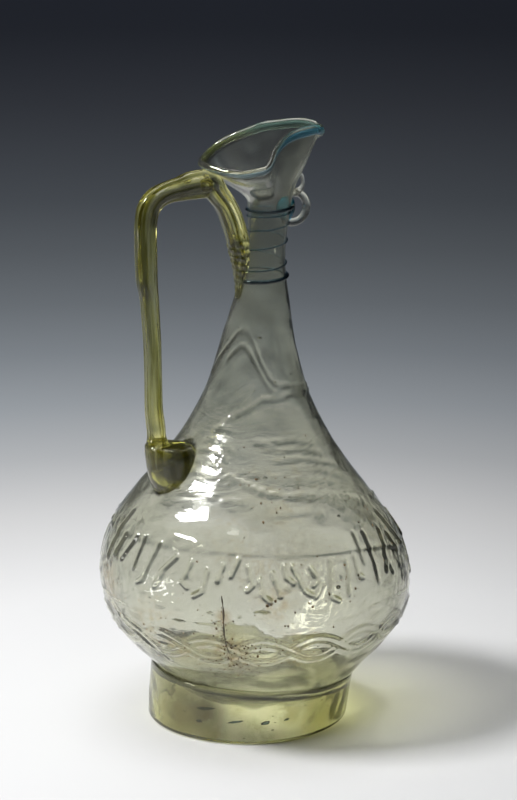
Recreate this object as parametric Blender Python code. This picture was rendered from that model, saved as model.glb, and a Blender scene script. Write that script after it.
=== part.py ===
"""A glass ewer: a mould-blown body, a foot, a looped handle, two trailed threads and a ring.

Metres, +Z up. The origin is on the table, under the middle of the belly. The handle is toward
-X and the spout toward +X. Every applied piece takes its place from the body's own surface.
"""
import math

import bpy
import numpy as np

# Body, from its base to the top of the neck
BELLY_RADIUS = 0.0670
BELLY_HEIGHT = 0.0640
BASE_HEIGHT = 0.0080
BASE_RADIUS = 0.0220
BASE_KICK = 0.0035
NECK_TOP = 0.2252
NECK_LENGTH = 0.0202
NECK_RADIUS = 0.0084
NECK_TOP_RADIUS = 0.0094
WALL = 0.0020

# Outline below the belly: share of the way down to the base, share of the radius kept
LOWER_OUTLINE = ((0.0, 1.0), (0.143, 0.989), (0.321, 0.922), (0.5, 0.769), (0.643, 0.598),
                 (0.768, 0.471), (0.875, 0.333), (1.0, 0.0))
# Outline above it: share of the way up to the neck, share of the radius kept
UPPER_OUTLINE = ((0.0, 1.0), (0.086, 0.960), (0.173, 0.861), (0.259, 0.710), (0.345, 0.543),
                 (0.446, 0.382), (0.561, 0.241), (0.676, 0.156), (0.806, 0.080), (1.0, 0.0))
# How far the axis leans toward the spout: share of the neck's top height, offset
LEAN = ((0.0, 0.0030), (0.21, 0.0013), (0.30, 0.0), (0.42, -0.0014), (0.57, 0.0003),
        (0.71, 0.0017), (0.80, 0.0032), (0.89, 0.0055), (1.0, 0.0076))

# Relief of the mould: upright strokes over the belly, a border line and a plait below it
STROKES = 36
STROKE_BAND_RISE = 0.0020
STROKE_BAND_HEIGHT = 0.0305
STROKE_WIDTH = 0.0030
STROKE_RELIEF = 0.0011
RIDGE_RELIEF = 0.0004
BORDER_DROP = 0.0050
BORDER_WIDTH = 0.0024
BORDER_RELIEF = 0.0008
PLAIT_EYES = 18
PLAIT_TURN = 2.5
PLAIT_DROP = 0.0160
PLAIT_REACH = 0.0046
PLAIT_CROSSING = 0.0008
PLAIT_WIDTH = 0.0019
PLAIT_RELIEF = 0.0011
PLAIT_EYE_SHARE = 0.8
# Each stroke: low end and high end as shares of the band, lean in degrees, hook in degrees
STROKE_PATTERN = ((0.36, 0.96, 3.0, 0.0), (0.30, 0.80, 2.0, 0.0), (0.22, 0.78, 3.0, 2.6),
                  (0.38, 0.70, 4.0, 0.0), (0.20, 0.62, 1.0, -2.4), (0.46, 0.74, 2.0, 0.0),
                  (0.12, 0.66, 0.0, 2.4), (0.34, 0.90, -1.0, 0.0), (0.08, 0.84, -2.0, 0.0),
                  (0.40, 0.72, -3.0, 2.2), (0.06, 0.96, -2.0, 0.0), (0.30, 0.86, 1.0, 0.0))
# The lengths of a stroke's end and of its hook, and the rows and the ridge, as the same shares
STROKE_END = 0.12
STROKE_HOOK = 0.20
STROKE_ROWS = (0.0, 0.14, 0.32, 0.54, 0.72, 0.86, 1.0)
RIDGE_ROW = 0.72

# Mouth: a wide lobe over the handle, pinched in and drawn out to a beak
MOUTH_BACK = 0.0317
MOUTH_TIP = 0.0254
MOUTH_RISE = 0.0183
LIP_SLOPE = 0.0140
LIP_TILT = 0.0011
LIP_ROUND = 0.0012
LIP_WALL = 0.0024
LOBE_SPREAD = 0.0250
BEAK_SPREAD = 0.0083
# Up the funnel: how sharply the beak flares, and the share of the way over which a lobe swells
BEAK_FLARE = 1.15
LOBE_START = 0.05
LOBE_LENGTH = 0.72
# Share of the way along the lip from the back to the tip, share of the lobe's extra spread
LIP_SWELL = ((0.0, 0.43), (0.27, 0.94), (0.36, 1.0), (0.47, 0.46), (0.54, 0.20), (0.66, 0.0),
             (1.0, 0.0))
# The same share along the lip, share of the slope from its lowest to its highest place
LIP_CLIMB = ((0.0, 0.04), (0.23, 0.0), (0.35, 0.13), (0.47, 0.62), (0.59, 0.93), (0.75, 1.0),
             (0.90, 0.93), (1.0, 0.74))

# Foot: a thick ring under the body, set a little askew
FOOT_RADIUS = 0.0434
FOOT_TOP_RADIUS = 0.0444
FOOT_TOP = 0.0200
FOOT_WALL = 0.0046
FOOT_EDGE = 0.0009
FOOT_SHIFT = -0.0036
FOOT_TOP_SHIFT = -0.0009

# Handle: one drawn trail from the neck up to the lip, out, and down to a pad on the shoulder
HANDLE_REACH = 0.0560
HANDLE_THICKNESS = 0.0090
HANDLE_TAIL_DROP = 0.0402
HANDLE_FOLD_INSET = 0.0008
HANDLE_FOLD_DROP = 0.0078
HANDLE_BEND = 0.0170
HANDLE_PAD_RISE = 0.0530
HANDLE_PAD_RADIUS = 0.0110
# The tail up the neck: rise, distance off the neck, half thickness and half width as shares
HANDLE_TAIL = ((0.0, 0.0002, 0.20, 0.34), (0.008, 0.0018, 0.46, 0.62),
               (0.0155, 0.0036, 0.80, 0.88), (0.021, 0.0048, 0.98, 1.04))
# The strap up to the lip: share of the way, bow toward the spout, the same two shares
HANDLE_STRAP = ((0.42, 0.0034, 1.02, 1.18), (0.62, 0.0039, 0.98, 1.22), (0.80, 0.0030, 1.02, 1.24))
# At the fold, the same two shares
HANDLE_FOLD = (1.30, 1.40)
# From the fold out to the bend: share of the way, drop, half thickness
HANDLE_ARM = ((0.24, 0.0002, 1.28), (0.415, 0.0011, 1.12), (0.59, 0.0018, 1.02),
              (0.734, 0.0029, 1.0), (0.883, 0.0056, 1.02), (0.968, 0.0099, 1.02))
# Down the rod: share of the way to the shoulder, sway toward the body, half thickness
HANDLE_ROD = ((0.0, 0.0, 1.0), (0.10, 0.0001, 1.0), (0.21, 0.0004, 0.98), (0.29, 0.0015, 0.87),
              (0.38, 0.0021, 0.85), (0.48, 0.0027, 0.83), (0.62, 0.0030, 0.82),
              (0.75, 0.0032, 0.84), (0.84, 0.0042, 0.89))
# Into the pad: stand off the shoulder, share of the pad's radius
HANDLE_PAD = ((0.0092, 0.62), (0.0050, 0.90), (0.0012, 1.0), (-0.0030, 1.0))

# Threads: a dark blue trail wound up the neck, and another under the lip
THREAD_THICK = 0.0015
THREAD_THIN = 0.0007
THREAD_TOP_DROP = 0.0030
THREAD_BAND = 0.0295
# Turns counted from the lowest front place, share of the band's height there
THREAD_CLIMB = ((-0.3, -0.03), (0.0, 0.0), (1.0, 0.153), (2.0, 0.468), (3.0, 0.732),
                (4.0, 0.922), (5.0, 1.0), (5.3, 1.03))
THREAD_FRONT = -120.0
# Turns over which the thread thins out from its first end, and thickens again to its last
THREAD_START_TAPER = 1.2
THREAD_END_TAPER = 0.9
# Shares of a thread's half size: how far it stands out, and its flat outer side
THREAD_STAND = 1.6
THREAD_FLAT = 0.55
LIP_THREAD_THICKNESS = 0.0012
LIP_THREAD_WIDTH = 0.0014
BEAK_THREAD_WIDTH = 0.0030
# Where the thread under the lip widens, as a share of the way along the lip from the back
BEAK_THREAD_START = 0.42
BEAK_THREAD_LENGTH = 0.20

# Ring under the spout: a loop of clear glass with a thin curl, and a blue dab inside it
RING_DROP = 0.0040
RING_RADIUS = 0.0063
RING_THICKNESS = 0.0034
RING_STAND = 0.0030
RING_CURL_RISE = 0.0085
# The curl past the loop: distance out from the loop's middle, share of the rise, thickness
RING_CURL = ((0.0036, 0.16, 0.70), (0.0046, 0.42, 0.50), (0.0044, 0.70, 0.46), (0.0028, 1.0, 0.44))
DAB_HALF_HEIGHT = 0.0032
DAB_HALF_WIDTH = 0.0030
DAB_THICKNESS = 0.0012
# The dab's dome: share of its thickness, share of its size
DAB_PROFILE = ((0.0, 0.5), (0.0, 1.0), (0.55, 0.85), (1.0, 0.4))

# Fit between pieces, and how finely the round forms are divided
JOIN_GAP = 0.0003
FINE = 108
MIDDLE = 54
PLAIN = 36
HANDLE_SIDES = 10
HANDLE_STATIONS = 32
RING_SIDES = 6
RING_STATIONS = 20
THREAD_STEPS = 15
DAB_SIDES = 8
# Rows of the vessel's surfaces, as shares of each stretch's height
LOW_ROWS = (0.10, 0.25, 0.43, 0.65, 0.88)
SHOULDER_ROWS = (0.065, 0.19, 0.32)
NECK_ROWS = (0.36, 0.46, 0.55, 0.63, 0.70, 0.76, 0.82, 0.88, 0.94, 1.0)
MOUTH_ROWS = (0.14, 0.28, 0.42, 0.56, 0.70, 0.85, 1.0)
INNER_MOUTH_ROWS = (0.84, 0.66, 0.48, 0.30, 0.14)
INNER_NECK_ROWS = (0.97, 0.86, 0.74, 0.62, 0.50, 0.38, 0.24, 0.10)
INNER_LOW_ROWS = (0.90, 0.64, 0.40, 0.18)
STEP = 1e-5

# Places that follow from the sizes above
NECK_START = NECK_TOP - NECK_LENGTH
LIP_LOW = NECK_TOP + MOUTH_RISE
RING_HEIGHT = NECK_TOP - RING_DROP
THREAD_LOW = NECK_TOP - THREAD_TOP_DROP - THREAD_BAND
PAD_HEIGHT = BELLY_HEIGHT + HANDLE_PAD_RISE


def smooth_curve(knots, start_slope=None, end_slope=None):
    """A cubic through (place, value) knots that never swings past them (monotone slopes)."""
    places, values = np.array(knots, dtype=float).T
    steps = np.diff(places)
    rises = np.diff(values) / steps
    slopes = np.zeros(len(places))
    for index in range(1, len(places) - 1):
        before, after = rises[index - 1], rises[index]
        if before * after > 0:
            early = 2 * steps[index] + steps[index - 1]
            late = steps[index] + 2 * steps[index - 1]
            slopes[index] = (early + late) / (early / before + late / after)
    slopes[0] = rises[0] if start_slope is None else start_slope
    slopes[-1] = rises[-1] if end_slope is None else end_slope

    def curve(place):
        place = np.clip(place, places[0], places[-1])
        index = np.clip(np.searchsorted(places, place, side="right") - 1, 0, len(steps) - 1)
        step = steps[index]
        share = (place - places[index]) / step
        keep = (1 + 2 * share) * (1 - share) ** 2
        leave = share * (1 - share) ** 2 * step
        arrive = share ** 2 * (share - 1) * step
        return (values[index] * keep + values[index + 1] * (1 - keep)
                + slopes[index] * leave + slopes[index + 1] * arrive)

    return curve


def ease(share):
    """Smooth step from 0 to 1."""
    share = np.clip(share, 0.0, 1.0)
    return share * share * (3 - 2 * share)


def between(low, high, shares):
    """Heights at the given shares of the way between two heights."""
    return [low + (high - low) * share for share in shares]


def angles(count, turn=0.0):
    """Evenly spaced angles round the axis, counted from the spout."""
    return np.arange(count) * 2 * math.pi / count + turn


lower_outline = smooth_curve(LOWER_OUTLINE, start_slope=0.0)
upper_outline = smooth_curve(UPPER_OUTLINE, start_slope=0.0, end_slope=0.0)
lean_curve = smooth_curve(LEAN)
lip_swell = smooth_curve(LIP_SWELL, end_slope=0.0)
lip_climb = smooth_curve(LIP_CLIMB)
thread_climb = smooth_curve(THREAD_CLIMB)


def lean(height):
    """Place of the body's axis along X at a height."""
    return lean_curve(np.asarray(height) / NECK_TOP)


def body_radius(height):
    """Outer radius of the plain body, from the base to the top of the neck."""
    height = np.asarray(height, dtype=float)
    down = (BELLY_HEIGHT - height) / (BELLY_HEIGHT - BASE_HEIGHT)
    up = (height - BELLY_HEIGHT) / (NECK_START - BELLY_HEIGHT)
    flare = np.clip((height - NECK_START) / NECK_LENGTH, 0, 1)
    below = BASE_RADIUS + (BELLY_RADIUS - BASE_RADIUS) * lower_outline(down)
    above = NECK_RADIUS + (BELLY_RADIUS - NECK_RADIUS) * upper_outline(up)
    neck = (NECK_TOP_RADIUS - NECK_RADIUS) * flare ** 2
    return np.where(height < BELLY_HEIGHT, below, above + neck)


def body_point(angle, height, relief=0.0):
    """A point on the body: a circle about the leaning axis, with relief standing off it."""
    radius = body_radius(height) + relief
    x = lean(height) + radius * np.cos(angle)
    return np.stack([x, radius * np.sin(angle), height + 0 * angle], axis=-1)


def base_point(angle, share):
    """A point under the base, which is pushed up in its middle."""
    radius = BASE_RADIUS * share
    height = BASE_HEIGHT + BASE_KICK * (1 - share ** 2)
    x = lean(BASE_HEIGHT) + radius * np.cos(angle)
    return np.stack([x, radius * np.sin(angle), height + 0 * angle], axis=-1)


def lip_point(angle):
    """A point on the lip's outer edge: 0 is the spout's tip, half a turn is over the handle."""
    side = np.arctan2(np.sin(angle), np.cos(angle))
    along = 1 - np.abs(side) / math.pi
    length = MOUTH_BACK + MOUTH_TIP
    x = lean(NECK_TOP) - MOUTH_BACK + length * (1 - np.cos(along * math.pi)) / 2
    spread = BEAK_SPREAD + (LOBE_SPREAD - BEAK_SPREAD) * lip_swell(along)
    y = np.sin(side) * spread
    z = LIP_LOW + LIP_SLOPE * lip_climb(along) + LIP_TILT * np.sin(side)
    return np.stack([x, y, z], axis=-1)


def mouth_point(angle, share):
    """A point between the neck (share 0) and the lip (share 1): lobes bulge, the beak flares."""
    neck = body_point(angle, NECK_TOP)
    lip = lip_point(angle) - np.array([0, 0, LIP_ROUND])
    lobe = np.sin(angle) ** 2
    flare = share ** BEAK_FLARE
    bulge = ease((share - LOBE_START) / LOBE_LENGTH)
    outward = ((1 - lobe) * flare + lobe * bulge)[..., None]
    upward = (share + 0 * angle)[..., None]
    flat = neck + (lip - neck) * outward
    tall = neck + (lip - neck) * upward
    return np.concatenate([flat[..., :2], tall[..., 2:]], axis=-1)


def offset_point(surface, angle, place, distance):
    """A point pushed off a surface along its normal, which is read from small steps."""
    around = surface(angle + STEP, place) - surface(angle - STEP, place)
    upward = surface(angle, place + STEP) - surface(angle, place - STEP)
    normal = np.cross(around, upward)
    normal = normal / np.linalg.norm(normal, axis=-1, keepdims=True)
    return surface(angle, place) + normal * distance


def plait_rings():
    """Rows that follow the plait's two strands: feet at the plain body, crests raised.

    The strands stand apart by the eye's reach times the size of a sine, and nearly meet
    where they cross.
    """
    turn = angles(FINE, math.radians(PLAIT_TURN))
    apart = np.abs(np.sin((turn - math.radians(PLAIT_TURN)) * PLAIT_EYES / 2))
    apart = PLAIT_CROSSING + (PLAIT_REACH - PLAIT_CROSSING) * apart
    inner = np.minimum(PLAIT_WIDTH, apart * PLAIT_EYE_SHARE)
    sunk = ease((apart - PLAIT_WIDTH) / PLAIT_WIDTH)
    floor = PLAIT_RELIEF * (1 - sunk)
    middle = BELLY_HEIGHT - PLAIT_DROP
    rows = ((-apart - PLAIT_WIDTH, 0.0), (-apart, PLAIT_RELIEF), (-apart + inner, floor),
            (apart - inner, floor), (apart, PLAIT_RELIEF), (apart + PLAIT_WIDTH, 0.0))
    return [body_point(turn, middle + place, relief) for place, relief in rows]


def border_rings():
    """A low raised line round the belly."""
    middle = BELLY_HEIGHT - BORDER_DROP
    rows = ((-BORDER_WIDTH / 2, 0.0), (0.0, BORDER_RELIEF), (BORDER_WIDTH / 2, 0.0))
    return [body_point(angles(MIDDLE), middle + place, relief) for place, relief in rows]


def stroke_rings():
    """Rows of the stroke band: each stroke has a left foot, a crest and a right foot."""
    low, high, lean_over, hook = np.array([STROKE_PATTERN[index % len(STROKE_PATTERN)]
                                           for index in range(STROKES)]).T
    centre = angles(STROKES)
    half = STROKE_WIDTH / 2 / BELLY_RADIUS
    rings = []
    for row in STROKE_ROWS:
        height = BELLY_HEIGHT + STROKE_BAND_RISE + STROKE_BAND_HEIGHT * row
        bend = np.radians(lean_over) * (row - 0.5)
        bend = bend + np.radians(hook) * (1 - ease((row - low) / STROKE_HOOK))
        crest = ease((row - low) / STROKE_END + 0.5) * ease((high - row) / STROKE_END + 0.5)
        crest = STROKE_RELIEF * crest * (0.0 < row < 1.0)
        ridge = RIDGE_RELIEF if row == RIDGE_ROW else 0.0
        turn = np.stack([centre + bend - half, centre + bend, centre + bend + half], axis=-1)
        relief = np.stack([0 * crest, crest, 0 * crest], axis=-1)
        rings.append(body_point(turn.ravel(), height, np.maximum(relief.ravel(), ridge)))
    return rings


def outer_rings():
    """Rings of the body's outer surface, from the base to the lip's outer edge."""
    plait_low = BELLY_HEIGHT - PLAIT_DROP - PLAIT_REACH - PLAIT_WIDTH
    strokes_high = BELLY_HEIGHT + STROKE_BAND_RISE + STROKE_BAND_HEIGHT
    rings = [base_point(angles(PLAIN), share) for share in (0.5, 1.0)]
    for height in between(BASE_HEIGHT, plait_low, LOW_ROWS):
        rings.append(body_point(angles(MIDDLE), height))
    rings += plait_rings()
    rings += border_rings()
    rings.append(body_point(angles(MIDDLE), BELLY_HEIGHT))
    rings += stroke_rings()
    for height in between(strokes_high, NECK_START, SHOULDER_ROWS):
        rings.append(body_point(angles(MIDDLE), height))
    for height in between(strokes_high, NECK_TOP, NECK_ROWS):
        rings.append(body_point(angles(PLAIN), height))
    for share in MOUTH_ROWS:
        rings.append(mouth_point(angles(PLAIN), share))
    return rings


def inner_rings():
    """Rings of the inner surface, from the lip down to the base, a wall inside the outer one."""
    turn = angles(PLAIN)
    top = lip_point(turn)
    inner_lip = offset_point(mouth_point, turn, 1.0, -LIP_WALL)
    crown = (top + inner_lip) / 2
    crown[:, 2] = top[:, 2]
    rings = [crown, inner_lip]
    for share in INNER_MOUTH_ROWS:
        wall = WALL + (LIP_WALL - WALL) * share ** 2
        rings.append(offset_point(mouth_point, turn, share, -wall))
    for height in (between(BELLY_HEIGHT, NECK_TOP, INNER_NECK_ROWS)
                   + between(BASE_HEIGHT, BELLY_HEIGHT, INNER_LOW_ROWS)):
        rings.append(offset_point(body_point, turn, height, -WALL))
    rings.append(base_point(turn, 1.0) + np.array([0, 0, WALL]))
    return rings


def stitch(first, second, start, faces):
    """Triangles between two rings of any counts: each step moves on the ring that lags."""
    near, far = len(first), len(second)
    index = other = 0
    while index < near or other < far:
        here = start + index % near
        there = start + near + other % far
        if other == far or (index < near and (index + 1) * far <= (other + 1) * near):
            faces.append((here, start + (index + 1) % near, there))
            index += 1
        else:
            faces.append((here, start + near + (other + 1) % far, there))
            other += 1


def solid(name, rings, poles=None):
    """A closed mesh object through rings: ended by two pole points, or joined end to start."""
    faces = []
    start = 0
    for first, second in zip(rings[:-1], rings[1:]):
        stitch(first, second, start, faces)
        start += len(first)
    points = np.concatenate(rings)
    count = len(rings[-1])
    if poles is None:
        loop = []
        stitch(rings[-1], rings[0], 0, loop)
        faces += [[start + at if at < count else at - count for at in face] for face in loop]
    else:
        opening = len(rings[0])
        low, high = len(points), len(points) + 1
        points = np.concatenate([points, np.array(poles)])
        faces += [(low, (at + 1) % opening, at) for at in range(opening)]
        faces += [(start + at, start + (at + 1) % count, high) for at in range(count)]
    corners = points[np.array(faces)]
    volume = np.einsum("ij,ij->i", corners[:, 0], np.cross(corners[:, 1], corners[:, 2])).sum()
    if volume < 0:
        faces = [face[::-1] for face in faces]
    mesh = bpy.data.meshes.new(name)
    mesh.from_pydata(points.tolist(), [], [tuple(int(at) for at in face) for face in faces])
    mesh.validate()
    mesh.shade_smooth()
    piece = bpy.data.objects.new(name, mesh)
    bpy.context.collection.objects.link(piece)
    return piece


def glass(name, colour, roughness=0.05):
    """A clear glass of one colour."""
    material = bpy.data.materials.new(name)
    material.use_nodes = True
    shader = material.node_tree.nodes["Principled BSDF"]
    shader.inputs["Base Color"].default_value = (*colour, 1.0)
    shader.inputs["Roughness"].default_value = roughness
    shader.inputs["Metallic"].default_value = 0.0
    shader.inputs["IOR"].default_value = 1.5
    shader.inputs["Transmission Weight"].default_value = 1.0
    return material


def clearance(piece):
    """Marks a piece as a helper that is cut away from others, or joined to them."""
    piece.hide_render = True
    piece.display_type = "WIRE"
    return piece


def combine(piece, operation, helpers):
    """Joins helpers to a piece, or cuts them away from it."""
    for helper in helpers:
        step = piece.modifiers.new(helper.name, "BOOLEAN")
        step.operation = operation
        step.solver = "EXACT"
        step.object = helper


def make_body():
    """The blown vessel, open at the mouth, with its wall."""
    axis = lean(BASE_HEIGHT)
    under = (axis, 0.0, BASE_HEIGHT + BASE_KICK)
    inside = (axis, 0.0, BASE_HEIGHT + BASE_KICK + WALL)
    return solid("vessel", outer_rings() + inner_rings(), poles=(under, inside))


def make_body_clearance():
    """The vessel's outer form grown by the gap, as a cutter for what lies on it."""
    rings = outer_rings()
    middle = rings[-1].mean(axis=0)
    under = (lean(BASE_HEIGHT), 0.0, BASE_HEIGHT + BASE_KICK)
    cutter = solid("vessel_clearance", rings, poles=(under, middle))
    for vertex, normal in [(vertex, vertex.normal.copy()) for vertex in cutter.data.vertices]:
        vertex.co += normal * JOIN_GAP
    return clearance(cutter)


def foot_point(angle, inward, height):
    """A point of the foot, so far in from its outer wall, which leans and flares upward."""
    share = height / FOOT_TOP
    radius = FOOT_RADIUS + (FOOT_TOP_RADIUS - FOOT_RADIUS) * share - inward
    x = FOOT_SHIFT + (FOOT_TOP_SHIFT - FOOT_SHIFT) * share + radius * np.cos(angle)
    return np.stack([x, radius * np.sin(angle), height + 0 * angle], axis=-1)


def meeting_height(angle, inward):
    """Height where the foot's wall meets the body, a gap below it, found by halving."""
    low = np.full(len(angle), BASE_HEIGHT)
    high = np.full(len(angle), BELLY_HEIGHT)
    for _ in range(30):
        height = (low + high) / 2
        slope = (body_radius(height + STEP) - body_radius(height - STEP)) / (2 * STEP)
        point = foot_point(angle, inward, height)
        reach = np.hypot(point[:, 0] - lean(height), point[:, 1])
        under = reach > body_radius(height) + JOIN_GAP * np.sqrt(1 + slope ** 2)
        low = np.where(under, height, low)
        high = np.where(under, high, height)
    return (low + high) / 2


def make_foot():
    """The foot ring: a flat rest, rounded edges, and a top that follows the body."""
    turn = angles(PLAIN)
    outer_top = meeting_height(turn, 0.0)
    level = 0 * turn
    rings = [foot_point(turn, FOOT_EDGE, level),
             foot_point(turn, 0.0, level + FOOT_EDGE),
             foot_point(turn, 0.0, outer_top / 2),
             foot_point(turn, 0.0, outer_top),
             foot_point(turn, FOOT_WALL / 2, meeting_height(turn, FOOT_WALL / 2)),
             foot_point(turn, FOOT_WALL, meeting_height(turn, FOOT_WALL)),
             foot_point(turn, FOOT_WALL, level + FOOT_EDGE),
             foot_point(turn, FOOT_WALL - FOOT_EDGE, level)]
    return solid("foot", rings)


def side_of_neck(height, way):
    """Place along X of the body's surface: way is -1 on the handle's side, 1 on the spout's."""
    return float(lean(height) + way * body_radius(height))


def handle_route():
    """Rows of the handle's route: place along X, height, half thickness, half width."""
    thick = HANDLE_THICKNESS / 2
    rows = []
    for rise, off, slim, wide in HANDLE_TAIL:
        height = NECK_TOP - HANDLE_TAIL_DROP + rise
        rows.append((side_of_neck(height, -1) - off, height, thick * slim, thick * wide))

    neck_x, neck_z = rows[-1][:2]
    fold_x = float(lean(NECK_TOP)) - MOUTH_BACK + HANDLE_FOLD_INSET
    fold_z = LIP_LOW - HANDLE_FOLD_DROP
    for share, bow, slim, wide in HANDLE_STRAP:
        rows.append((neck_x + (fold_x - neck_x) * share + bow, neck_z + (fold_z - neck_z) * share,
                     thick * slim, thick * wide))
    rows.append((fold_x, fold_z, thick * HANDLE_FOLD[0], thick * HANDLE_FOLD[1]))

    rod_x = thick - HANDLE_REACH
    for share, drop, slim in HANDLE_ARM:
        rows.append((fold_x + (rod_x - fold_x) * share, fold_z - drop, thick * slim, thick * slim))
    bend_z = fold_z - HANDLE_BEND
    for share, sway, slim in HANDLE_ROD:
        rows.append((rod_x + sway, bend_z + (PAD_HEIGHT - bend_z) * share,
                     thick * slim, thick * slim))

    back = np.array([math.pi])
    for stand, share in HANDLE_PAD:
        place = offset_point(body_point, back, PAD_HEIGHT, stand)[0]
        rows.append((place[0], place[2], HANDLE_PAD_RADIUS * share, HANDLE_PAD_RADIUS * share))
    return rows


def swept_rings(rows, stations, sides):
    """Oval sections square to a route in the XZ plane, and the route's two ends."""
    rows = np.array(rows)
    run = np.concatenate([[0], np.cumsum(np.hypot(*np.diff(rows[:, :2], axis=0).T))])
    curves = [smooth_curve(np.stack([run, column], axis=-1)) for column in rows.T]
    x, z, thick, wide = (curve(np.linspace(0, run[-1], stations)) for curve in curves)
    along = np.stack([np.gradient(x), np.gradient(z)], axis=-1)
    along = along / np.linalg.norm(along, axis=-1, keepdims=True)
    rings = []
    for index in range(stations):
        across = thick[index] * np.cos(angles(sides))
        side = wide[index] * np.sin(angles(sides))
        rings.append(np.stack([x[index] + across * along[index, 1], side,
                               z[index] - across * along[index, 0]], axis=-1))
    return rings, ((x[0], 0.0, z[0]), (x[-1], 0.0, z[-1]))


def make_handle(cutters):
    """The handle, cut to lie against the vessel and over the threads."""
    rings, poles = swept_rings(handle_route(), HANDLE_STATIONS, HANDLE_SIDES)
    handle = solid("handle", rings, poles)
    combine(handle, "DIFFERENCE", cutters)
    return handle


def thread_section(thick, grow):
    """Corners of a thread's section: depth off the surface, and height, from its half size."""
    half = thick / 2
    inner, outer = JOIN_GAP - 3 * grow, JOIN_GAP + THREAD_STAND * half + grow
    wide, narrow = half + grow, half * THREAD_FLAT + grow
    return ((inner, -wide), (outer, -narrow), (outer, narrow), (inner, wide))


def make_neck_thread(name, grow=0.0):
    """The thread wound up the neck: a helix whose climb follows the turns, thick at its ends."""
    first, last = THREAD_CLIMB[0][0], THREAD_CLIMB[-1][0]
    count = round((last - first) * THREAD_STEPS)
    rings = []
    for turns in np.linspace(first, last, count + 1):
        angle = math.radians(THREAD_FRONT) + turns * 2 * math.pi
        height = THREAD_LOW + THREAD_BAND * float(thread_climb(turns))
        end = max(1 - (turns - first) / THREAD_START_TAPER, 1 - (last - turns) / THREAD_END_TAPER)
        thick = THREAD_THIN + (THREAD_THICK - THREAD_THIN) * float(ease(end))
        rings.append(np.array([body_point(np.array(angle), height + rise, depth)
                               for depth, rise in thread_section(thick, grow)]))
    return solid(name, rings, (rings[0].mean(axis=0), rings[-1].mean(axis=0)))


def make_dab():
    """The blue dab on the neck inside the ring: a low bump, thickest in its middle."""
    turn = angles(DAB_SIDES)
    rings = []
    for rise, share in DAB_PROFILE:
        depth = 2 * JOIN_GAP + (DAB_THICKNESS - JOIN_GAP) * rise
        height = RING_HEIGHT + DAB_HALF_HEIGHT * share * np.sin(turn)
        angle = DAB_HALF_WIDTH * share * np.cos(turn) / body_radius(height)
        rings.append(body_point(angle, height, depth))
    return solid("dab", rings, (rings[0].mean(axis=0), rings[-1].mean(axis=0)))


def make_lip_thread(name, grow=0.0):
    """The flat thread under the lip, a closed ring a gap off the mouth, wider along the beak."""
    turn = angles(PLAIN)
    along = 1 - np.abs(np.arctan2(np.sin(turn), np.cos(turn))) / math.pi
    beak = ease((along - BEAK_THREAD_START) / BEAK_THREAD_LENGTH)
    width = LIP_THREAD_WIDTH + (BEAK_THREAD_WIDTH - LIP_THREAD_WIDTH) * beak
    height = (lip_point(turn) - body_point(turn, NECK_TOP))[:, 2]
    inner, outer = JOIN_GAP - 3 * grow, JOIN_GAP + LIP_THREAD_THICKNESS + grow
    corners = []
    for depth, place, way in ((inner, 1.0, -1), (outer, THREAD_FLAT, -1), (outer, 0.0, 1),
                              (inner, 0.0, 1)):
        share = 1 - (width * place - way * grow) / height
        corners.append(offset_point(mouth_point, turn, share, depth))
    return solid(name, [np.array([corner[index] for corner in corners]) for index in range(PLAIN)])


def ring_route():
    """Rows of the ring's route: out of the neck, round a loop, and up a thin curl."""
    half = RING_THICKNESS / 2
    centre_x = side_of_neck(RING_HEIGHT, 1) + RING_STAND
    rows = []
    for degrees in range(-135, 86, 20):
        angle = math.radians(degrees)
        rows.append((centre_x + RING_RADIUS * math.cos(angle),
                     RING_HEIGHT + RING_RADIUS * math.sin(angle), half, half))
    top = RING_HEIGHT + RING_RADIUS
    for out, rise, slim in RING_CURL:
        rows.append((centre_x + out, top + RING_CURL_RISE * rise, half * slim, half * slim))
    return rows


def make_ring(cutters):
    """The small ring under the spout."""
    rings, poles = swept_rings(ring_route(), RING_STATIONS, RING_SIDES)
    ring = solid("spout_ring", rings, poles)
    combine(ring, "DIFFERENCE", cutters)
    return ring


def build():
    """Clears the scene and makes the ewer's pieces."""
    for item in list(bpy.data.objects):
        bpy.data.objects.remove(item)
    pale = glass("pale_glass", (0.86, 0.89, 0.80))
    olive = glass("olive_glass", (0.62, 0.62, 0.26))
    blue = glass("blue_glass", (0.10, 0.26, 0.34))

    vessel = make_body()
    vessel.data.materials.append(pale)
    foot = make_foot()
    foot.data.materials.append(olive)

    neck_thread = make_neck_thread("neck_thread")
    neck_thread.data.materials.append(blue)
    combine(neck_thread, "UNION", [clearance(make_dab())])
    lip_thread = make_lip_thread("lip_thread")
    lip_thread.data.materials.append(blue)

    around_body = make_body_clearance()
    around_neck_thread = clearance(make_neck_thread("neck_thread_clearance", JOIN_GAP))
    around_lip_thread = clearance(make_lip_thread("lip_thread_clearance", JOIN_GAP))
    handle = make_handle((around_body, around_neck_thread, around_lip_thread))
    handle.data.materials.append(olive)
    ring = make_ring((around_body, around_neck_thread))
    ring.data.materials.append(pale)


build()
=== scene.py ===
"""A clear glass ewer: its fine blown and moulded forms, its glass, its soil and a plain studio.

Metres, +Z up, the handle toward -X and the spout toward +X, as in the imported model. Angles round
the body are counted from the spout; the photo looks from -120 degrees.
"""
import math

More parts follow.
